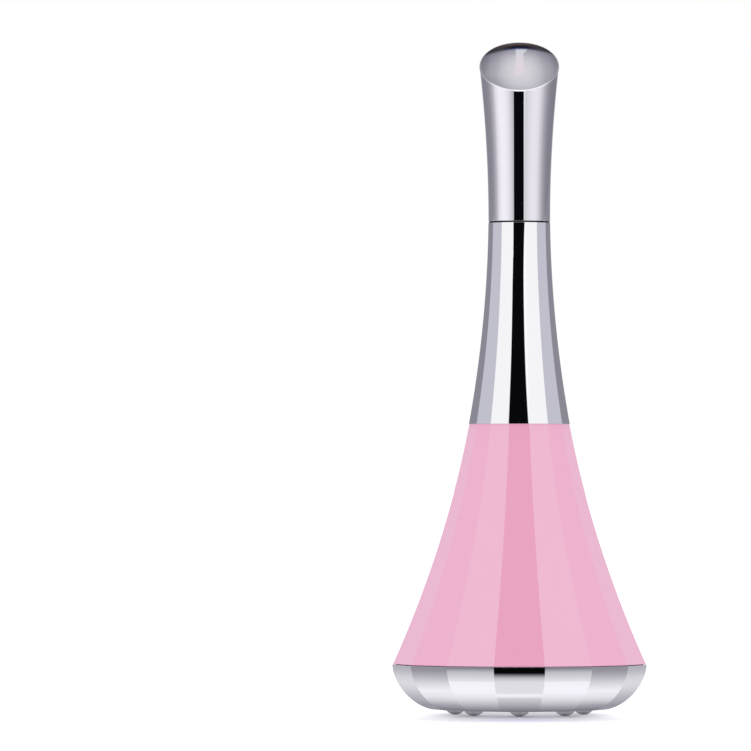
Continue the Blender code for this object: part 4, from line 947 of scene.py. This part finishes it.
# Studio
DARK = (0.002, 0.002, 0.003)
BLACK_CENTRE = 0.75            # degrees that the black stripe's middle is turned to the left
REAR_PANEL = (0.74, 0.73, 0.77)
RIM_FOLLOWS = 0.68             # how far the rim light leans back, along the cap's slanted end

# Softboxes and flags: pairs of degrees and the tone that chrome shows there
CAP_LIGHT = ((-64, .23), (-54, .28), (-46, .46), (-39.5, .76), (-33, .89), (-26, .88), (-21, .83),
             (-16, .71), (-12.4, .57), (-9.6, .47), (8, .82), (9, .73), (10.5, .63), (12, .66),
             (16, .73), (21.5, .79), (27, .81), (33, .77), (39, .59), (46, .38), (52, .28), (58, .23),
             (70, .21))
NECK_LIGHT = ((8, (.98, .98, 1.0)), (17, (.98, .98, 1.0)), (21, (.91, .91, .935)),
              (33, (.91, .91, .935)), (37, (.56, .55, .63)),
              (40, (.53, .525, .605)), (54, (.53, .525, .605)), (58, .25))
RIM_LIGHT = ((6.5, 1.12), (9.5, .91), (20, .90), (38, .82), (44, .66), (52, .43), (60, .36), (80, .32))
BOWL_FRONT = ((-78, .16), (-65, .27), (-55, .43), (-46.5, .61), (-43.5, .84), (-40.8, .92),
              (-39.6, .76), (-25, .73), (-20, .52), (-14, .07), (-12, .002))
BOWL_DIAGONAL = ((-75, .18), (-66, .29), (-60, .39), (-52, .60), (-46, .77), (-40, .89), (-33, .93),
                 (-25.4, .89), (-23.8, .77), (-17, .62), (-13.5, .56), (-10, .49), (-8.6, .41), (-6.9, .21))
BOWL_ACROSS = ((-70, .20), (-58, .37), (-51, .60), (-45, .78), (-37, .88), (-30, .74), (-19, .455),
               (-13, .355), (-9, .30), (-6, .27))
BOWL_OUTER = ((-60, .30), (-44, .50), (-36, .64), (-30, .70), (-23, .66), (-15, .52), (-7, .43))
# What the pink mouldings see, as colours of light, by the turn of the facet
GEL_LIGHT = ((9, (.76, .44, .55)), (13, (1.10, 1.32, 1.34)), (32, (1.10, 1.32, 1.34)),
             (36, (.98, .90, 1.08)), (55, (.98, .90, 1.08)), (58, (.83, .73, .86)))
# The cap's end: a soft glow across and up, a pale strip in its middle, and a dark far edge
END_ACROSS = ((0, .67), (1.5, .665), (2.4, .65), (3.5, .615), (4.7, .565), (5.9, .49), (7, .41),
              (8.2, .37), (9.35, .32), (10.5, .25), (13, .18))
END_UPWARDS = ((50.6, .74), (51.5, .85), (52.3, .91), (53.2, .95), (54.5, .99), (56.5, 1.0),
               (57.5, .97), (58.4, .93), (59.5, .86), (60.4, .78), (61.4, .64), (62.3, .51), (63, .45))
END_LEAN = ((50.6, 1.0, 1.25), (54.5, 0.35, 1.0))
END_STRIP = ((54.0, (.65, .64, .68)), (54.6, (.72, .67, .72)), (56.0, (.745, .665, .72)),
             (57.6, (.75, .67, .72)), (58.4, (.72, .67, .72)), (59.4, (.69, .66, .71)),
             (61.0, (.665, .65, .70)), (62.1, (.63, .62, .68)), (62.9, (.58, .59, .70)))
END_DARK = ((63.0, (.06, .09, .2)), (63.3, (.02, .03, .09)), (63.6, (.01, .01, .03)),
            (64.0, (.008, .006, .012)), (64.4, (.03, .015, .02)), (64.8, (.07, .045, .04)),
            (65.2, (.12, .10, .10)), (70, (.2, .18, .18)), (89, (.3, .28, .27)))
END_SIDES = ((63.0, (.09, .09, .13)), (63.5, (.055, .05, .06)), (64.4, (.035, .03, .035)),
             (64.8, (.06, .045, .05)), (65.2, (.10, .085, .09)), (70, (.2, .18, .18)),
             (89, (.3, .28, .27)))


class Shades:
    """Short ways to add shader nodes to a tree."""

    def __init__(self, tree):
        tree.nodes.clear()
        self.add = nodes_of(tree)
        self.link = tree.links.new

    def feed(self, socket, value):
        if isinstance(value, (int, float)):
            socket.default_value = value
        elif isinstance(value, tuple):
            socket.default_value = (*value, 1.0)
        else:
            self.link(value, socket)

    def maths(self, operation, *values):
        node = self.add("ShaderNodeMath", operation=operation)
        for socket, value in zip(node.inputs, values):
            self.feed(socket, value)
        return node.outputs[0]

    def mix(self, share, first, second, blend="MIX"):
        node = self.add("ShaderNodeMix", data_type="RGBA", blend_type=blend)
        self.feed(node.inputs["Factor"], share)
        self.feed(node.inputs["A"], first)
        self.feed(node.inputs["B"], second)
        return node.outputs["Result"]

    def between(self, value, low, high):
        """Nought up to low, one from high."""
        node = self.add("ShaderNodeMapRange")
        node.inputs["From Min"].default_value = low
        node.inputs["From Max"].default_value = high
        self.link(value, node.inputs["Value"])
        return node.outputs["Result"]

    def outside(self, value, low, high):
        return self.maths("SUBTRACT", 1.0, self.between(value, low, high))

    def degrees(self, value, stops):
        """A colour ramp over an angle from -90 to 90 degrees; stops are (angle, colour)."""
        node = self.add("ShaderNodeValToRGB")
        band = node.color_ramp
        while len(band.elements) > 1:
            band.elements.remove(band.elements[-1])
        for index, (angle, colour) in enumerate(stops):
            position = angle / 180 + 0.5
            if index:
                element = band.elements.new(position)
            else:
                element = band.elements[0]
                element.position = position
            element.color = (*colour, 1.0)
        self.link(self.maths("MULTIPLY_ADD", value, 1 / 180, 0.5), node.inputs["Fac"])
        return node.outputs["Color"]

    def card(self, value, stops, green=0.98):
        """The same, but for tones as chrome shows them."""
        return self.degrees(value, [(angle, shown(tone, green)) for angle, tone in stops])


def shown(tone, green=0.98):
    """The light that a tone on chrome needs; a grey is a little lilac, and more so in the dark."""
    if isinstance(tone, tuple):
        return tuple(part / CHROME_SHARE / PEAK for part in tone)
    blue = 1.05 + 0.16 * max(0.0, 1 - tone / 0.6)
    return tuple(tone * part / CHROME_SHARE / PEAK for part in (1.0, green, blue))


def sleeve_light(shades, signed, turn, tilt):
    """What the cap's wall and, facing a little higher, the neck see."""
    cap = shades.card(signed, CAP_LIGHT, 0.96)
    offset = shades.maths("ABSOLUTE", shades.maths("ADD", signed, BLACK_CENTRE))
    edge = shades.maths("MINIMUM", shades.maths("MULTIPLY_ADD", tilt, 0.36, 9.3), 9.15)
    flag = shades.between(shades.maths("SUBTRACT", offset, edge), -0.3, 0.3)
    cap = shades.mix(flag, DARK, cap)
    neck = shades.card(turn, NECK_LIGHT)
    rise = shades.maths("SUBTRACT", tilt, 4.8)
    fall = shades.maths("MINIMUM", rise, 0.0)
    edge = shades.maths("MULTIPLY_ADD", shades.maths("MULTIPLY", rise, rise), 0.0165, 1.34)
    edge = shades.maths("MULTIPLY_ADD", shades.maths("MULTIPLY", fall, fall), 0.035, edge)
    right = shades.between(shades.maths("SUBTRACT", signed, edge), -0.06, 0.06)
    edge = shades.maths("MULTIPLY_ADD", shades.between(tilt, 3.4, 4.4), -18.57, -1.97)
    edge = shades.maths("MULTIPLY_ADD", shades.between(tilt, 7.5, 10.4), -0.13, edge)
    left = shades.outside(shades.maths("SUBTRACT", signed, edge), -0.06, 0.06)
    neck = shades.mix(shades.maths("MAXIMUM", left, right), DARK, neck)
    return shades.mix(shades.between(tilt, 1.65, 1.95), cap, neck)


def bowl_light(shades, turn, tilt):
    light = shades.mix(shades.between(turn, 10, 13), shades.card(tilt, BOWL_FRONT),
                       shades.card(tilt, BOWL_DIAGONAL))
    light = shades.mix(shades.between(turn, 32, 36), light, shades.card(tilt, BOWL_ACROSS))
    return shades.mix(shades.between(turn, 55, 58), light, shades.card(tilt, BOWL_OUTER))


def end_light(shades, signed, turn, tilt):
    (low, low_middle, low_scale), (high, high_middle, high_scale) = END_LEAN
    rise = shades.between(tilt, low, high)
    middle = shades.maths("MULTIPLY_ADD", rise, high_middle - low_middle, low_middle)
    scale = shades.maths("MULTIPLY_ADD", rise, high_scale - low_scale, low_scale)
    reach = shades.maths("ABSOLUTE", shades.maths("SUBTRACT", signed, middle))
    across = shades.card(shades.maths("MULTIPLY", reach, scale), END_ACROSS)
    upwards = shades.degrees(tilt, [(angle, (share, share, share ** 0.85))
                                    for angle, share in END_UPWARDS])
    glow = shades.mix(1.0, across, upwards, "MULTIPLY")
    strip = shades.card(tilt, END_STRIP)
    flare = shades.between(tilt, 61.3, 62.8)
    middle = shades.maths("MULTIPLY_ADD", flare, 0.65, 0.1)
    reach = shades.maths("ABSOLUTE", shades.maths("SUBTRACT", signed, middle))
    reach = shades.maths("SUBTRACT", reach, shades.maths("MULTIPLY", flare, 0.85))
    mask = shades.maths("MULTIPLY", shades.outside(reach, 0.95, 1.45), shades.between(tilt, 53.9, 54.5))
    glow = shades.mix(mask, glow, strip)
    swing = shades.maths("POWER", shades.maths("SUBTRACT", signed, 0.5), 2.0)
    rise = shades.maths("MULTIPLY_ADD", swing, 0.017, tilt)
    dark = shades.mix(shades.between(turn, 2.5, 6.5), shades.card(rise, END_DARK),
                      shades.card(rise, END_SIDES))
    return shades.mix(shades.between(rise, 62.75, 63.35), glow, dark)


def studio_world():
    """White to the camera; chrome sees softboxes and flags, placed by the way that a surface
    seen from the front has to face to show them: its turn about the axis and its tilt upwards."""
    world = bpy.data.worlds.new("studio")
    bpy.context.scene.world = world
    world.use_nodes = True
    world.cycles.sampling_method = "NONE"
    shades = Shades(world.node_tree)
    add, link = shades.add, shades.link

    place = add("ShaderNodeTexCoord")
    shift = add("ShaderNodeVectorMath", operation="SUBTRACT")
    link(place.outputs["Generated"], shift.inputs[0])
    shift.inputs[1].default_value = (0.0, 1.0, 0.0)
    facing = add("ShaderNodeVectorMath", operation="NORMALIZE")
    link(shift.outputs[0], facing.inputs[0])
    split = add("ShaderNodeSeparateXYZ")
    link(facing.outputs[0], split.inputs["Vector"])
    x, y, z = split.outputs
    signed = shades.maths("DEGREES", shades.maths("ARCTAN2", x, shades.maths("MULTIPLY", y, -1.0)))
    turn = shades.maths("ABSOLUTE", signed)
    tilt = shades.maths("DEGREES", shades.maths("ARCSINE", z))

    gel = shades.degrees(turn, [(angle, tuple(part / PEAK for part in colour))
                                for angle, colour in GEL_LIGHT])
    ahead = shades.maths("MULTIPLY_ADD", z, RIM_FOLLOWS, y)
    swing = shades.maths("ARCTAN2", x, shades.maths("MULTIPLY", ahead, -1.0))
    rim = shades.card(shades.maths("ABSOLUTE", shades.maths("DEGREES", swing)), RIM_LIGHT)
    face = shades.maths("MAXIMUM", shades.outside(turn, 14.0, 18.0), shades.between(tilt, 64.0, 70.0))
    top = shades.mix(face, rim, end_light(shades, signed, turn, tilt))
    upper = shades.mix(shades.between(tilt, 24.5, 26.0), gel, rim)
    upper = shades.mix(shades.between(tilt, 48.0, 49.5), upper, top)
    upper = shades.mix(shades.between(tilt, 10.83, 10.95), sleeve_light(shades, signed, turn, tilt), upper)
    edge = shades.maths("MULTIPLY_ADD", shades.between(turn, 54.0, 58.0), 1.3, -4.4)
    above = shades.between(shades.maths("SUBTRACT", tilt, edge), -0.15, 0.15)
    pattern = shades.mix(above, bowl_light(shades, turn, tilt), upper)
    way = add("ShaderNodeSeparateXYZ")
    link(place.outputs["Generated"], way.inputs["Vector"])
    rear = shades.maths("MULTIPLY", shades.between(way.outputs["Y"], 0.93, 0.97),
                        shades.between(way.outputs["Z"], -0.12, -0.04))
    pattern = shades.mix(rear, pattern, shown(REAR_PANEL))

    path = add("ShaderNodeLightPath")
    plain = add("ShaderNodeBackground")
    plain.inputs["Color"].default_value = (1.0, 1.0, 1.0, 1.0)
    studio = add("ShaderNodeBackground")
    studio.inputs["Strength"].default_value = PEAK
    link(pattern, studio.inputs["Color"])
    either = add("ShaderNodeMixShader")
    link(path.outputs["Is Glossy Ray"], either.inputs["Fac"])
    link(plain.outputs["Background"], either.inputs[1])
    link(studio.outputs["Background"], either.inputs[2])
    output = add("ShaderNodeOutputWorld")
    link(either.outputs[0], output.inputs["Surface"])


# The floor, white but for a painted soft lilac shadow round the foot; a painted glow, seen only by the
# camera, whitens the floor round that shadow
FLOOR_REACH = 30.0
FLOOR_WHITE = (0.94, 0.94, 0.94)
# colour of the painted shadow, then where it lies and how far it reaches
FLOOR_SHADE = (0.68, 0.665, 0.80)
SHADE_CENTRE = (0.0, -40.0 * MM, 0.0)
SHADE_REACH = (30.0 * MM, 24.0 * MM, 1.0)
# colour of the painted glow
GLOW_COLOUR = (0.92, 0.92, 1.0)


def studio_floor():
    mesh = bpy.data.meshes.new("floor")
    corners = [(-FLOOR_REACH, -FLOOR_REACH, 0), (FLOOR_REACH, -FLOOR_REACH, 0),
               (FLOOR_REACH, FLOOR_REACH, 0), (-FLOOR_REACH, FLOOR_REACH, 0)]
    mesh.from_pydata(corners, [], [(0, 1, 2, 3)])
    floor = bpy.data.objects.new("floor", mesh)
    bpy.context.scene.collection.objects.link(floor)
    material = bpy.data.materials.new("white_floor")
    material.use_nodes = True
    shades = Shades(material.node_tree)
    add, link = shades.add, shades.link
    place = add("ShaderNodeTexCoord")

    # Painted shadow: the floor's colour turns lilac-grey inside an ellipse in front of the foot
    offset = add("ShaderNodeVectorMath", operation="SUBTRACT")
    link(place.outputs["Object"], offset.inputs[0])
    offset.inputs[1].default_value = SHADE_CENTRE
    scaled = add("ShaderNodeVectorMath", operation="DIVIDE")
    link(offset.outputs[0], scaled.inputs[0])
    scaled.inputs[1].default_value = SHADE_REACH
    length = add("ShaderNodeVectorMath", operation="LENGTH")
    link(scaled.outputs[0], length.inputs[0])
    paint = add("ShaderNodeBsdfDiffuse")
    link(shades.mix(shades.between(length.outputs["Value"], 0.1, 1.0), FLOOR_SHADE, FLOOR_WHITE),
         paint.inputs["Color"])

    # Painted light: a glow seen only by the camera, stronger beside, in front of and behind the foot,
    # whitens the floor round the painted shadow
    split = add("ShaderNodeSeparateXYZ")
    link(place.outputs["Object"], split.inputs["Vector"])
    aside = shades.maths("DIVIDE", shades.maths("ABSOLUTE", split.outputs["X"]), MM)
    ahead = shades.maths("DIVIDE", shades.maths("ABSOLUTE", split.outputs["Y"]), MM)
    sides = shades.maths("MULTIPLY_ADD", shades.between(ahead, 16.0, 30.0), -0.33, 0.50)
    sides = shades.maths("MULTIPLY", shades.between(aside, 14.0, 26.0), sides)
    front = shades.maths("MULTIPLY", shades.between(ahead, 28.0, 58.0), 0.14)
    behind = shades.maths("DIVIDE", split.outputs["Y"], MM)
    behind = shades.maths("MULTIPLY", shades.between(behind, -14.0, 12.0), 0.30)
    strength = shades.maths("ADD", sides, shades.maths("MAXIMUM", front, behind))
    path = add("ShaderNodeLightPath")
    glow = add("ShaderNodeEmission")
    glow.inputs["Color"].default_value = (*GLOW_COLOUR, 1.0)
    link(shades.maths("MULTIPLY", path.outputs["Is Camera Ray"], strength), glow.inputs["Strength"])
    both = add("ShaderNodeAddShader")
    link(paint.outputs[0], both.inputs[0])
    link(glow.outputs[0], both.inputs[1])
    output = add("ShaderNodeOutputMaterial")
    link(both.outputs[0], output.inputs["Surface"])
    mesh.materials.append(material)
    floor.visible_glossy = False


# The camera, worked out from where the device stands in the photograph
IMAGE_SIZE = 751
FOCAL_PIXELS = 7000.0
AXIS_PIXEL = 519.35            # the device's middle, from the left
EYE_PIXEL = 480.0              # height of the horizon, from the top
PIXEL_SIZE = 0.24467 * MM      # at the device's axis
TIPS_PIXEL = 714.3             # the plane that the beads stand on, at the axis


def studio_camera():
    lens = bpy.data.cameras.new("camera")
    camera = bpy.data.objects.new("camera", lens)
    bpy.context.scene.collection.objects.link(camera)
    lens.sensor_width = 36.0
    lens.lens = FOCAL_PIXELS / IMAGE_SIZE * lens.sensor_width
    lens.clip_start = 0.01
    lens.clip_end = 100.0
    distance = FOCAL_PIXELS * PIXEL_SIZE
    yaw = math.atan((AXIS_PIXEL - IMAGE_SIZE / 2) / FOCAL_PIXELS)
    pitch = math.atan((EYE_PIXEL - IMAGE_SIZE / 2) / FOCAL_PIXELS)
    eye = (TIPS_PIXEL - EYE_PIXEL) * PIXEL_SIZE
    camera.location = (0.0, -distance, eye)
    camera.rotation_euler = (math.pi / 2 + pitch, 0.0, yaw)
    bpy.context.scene.camera = camera


build_object()
studio_world()
studio_floor()
studio_camera()
bpy.context.scene.view_settings.view_transform = "Standard"
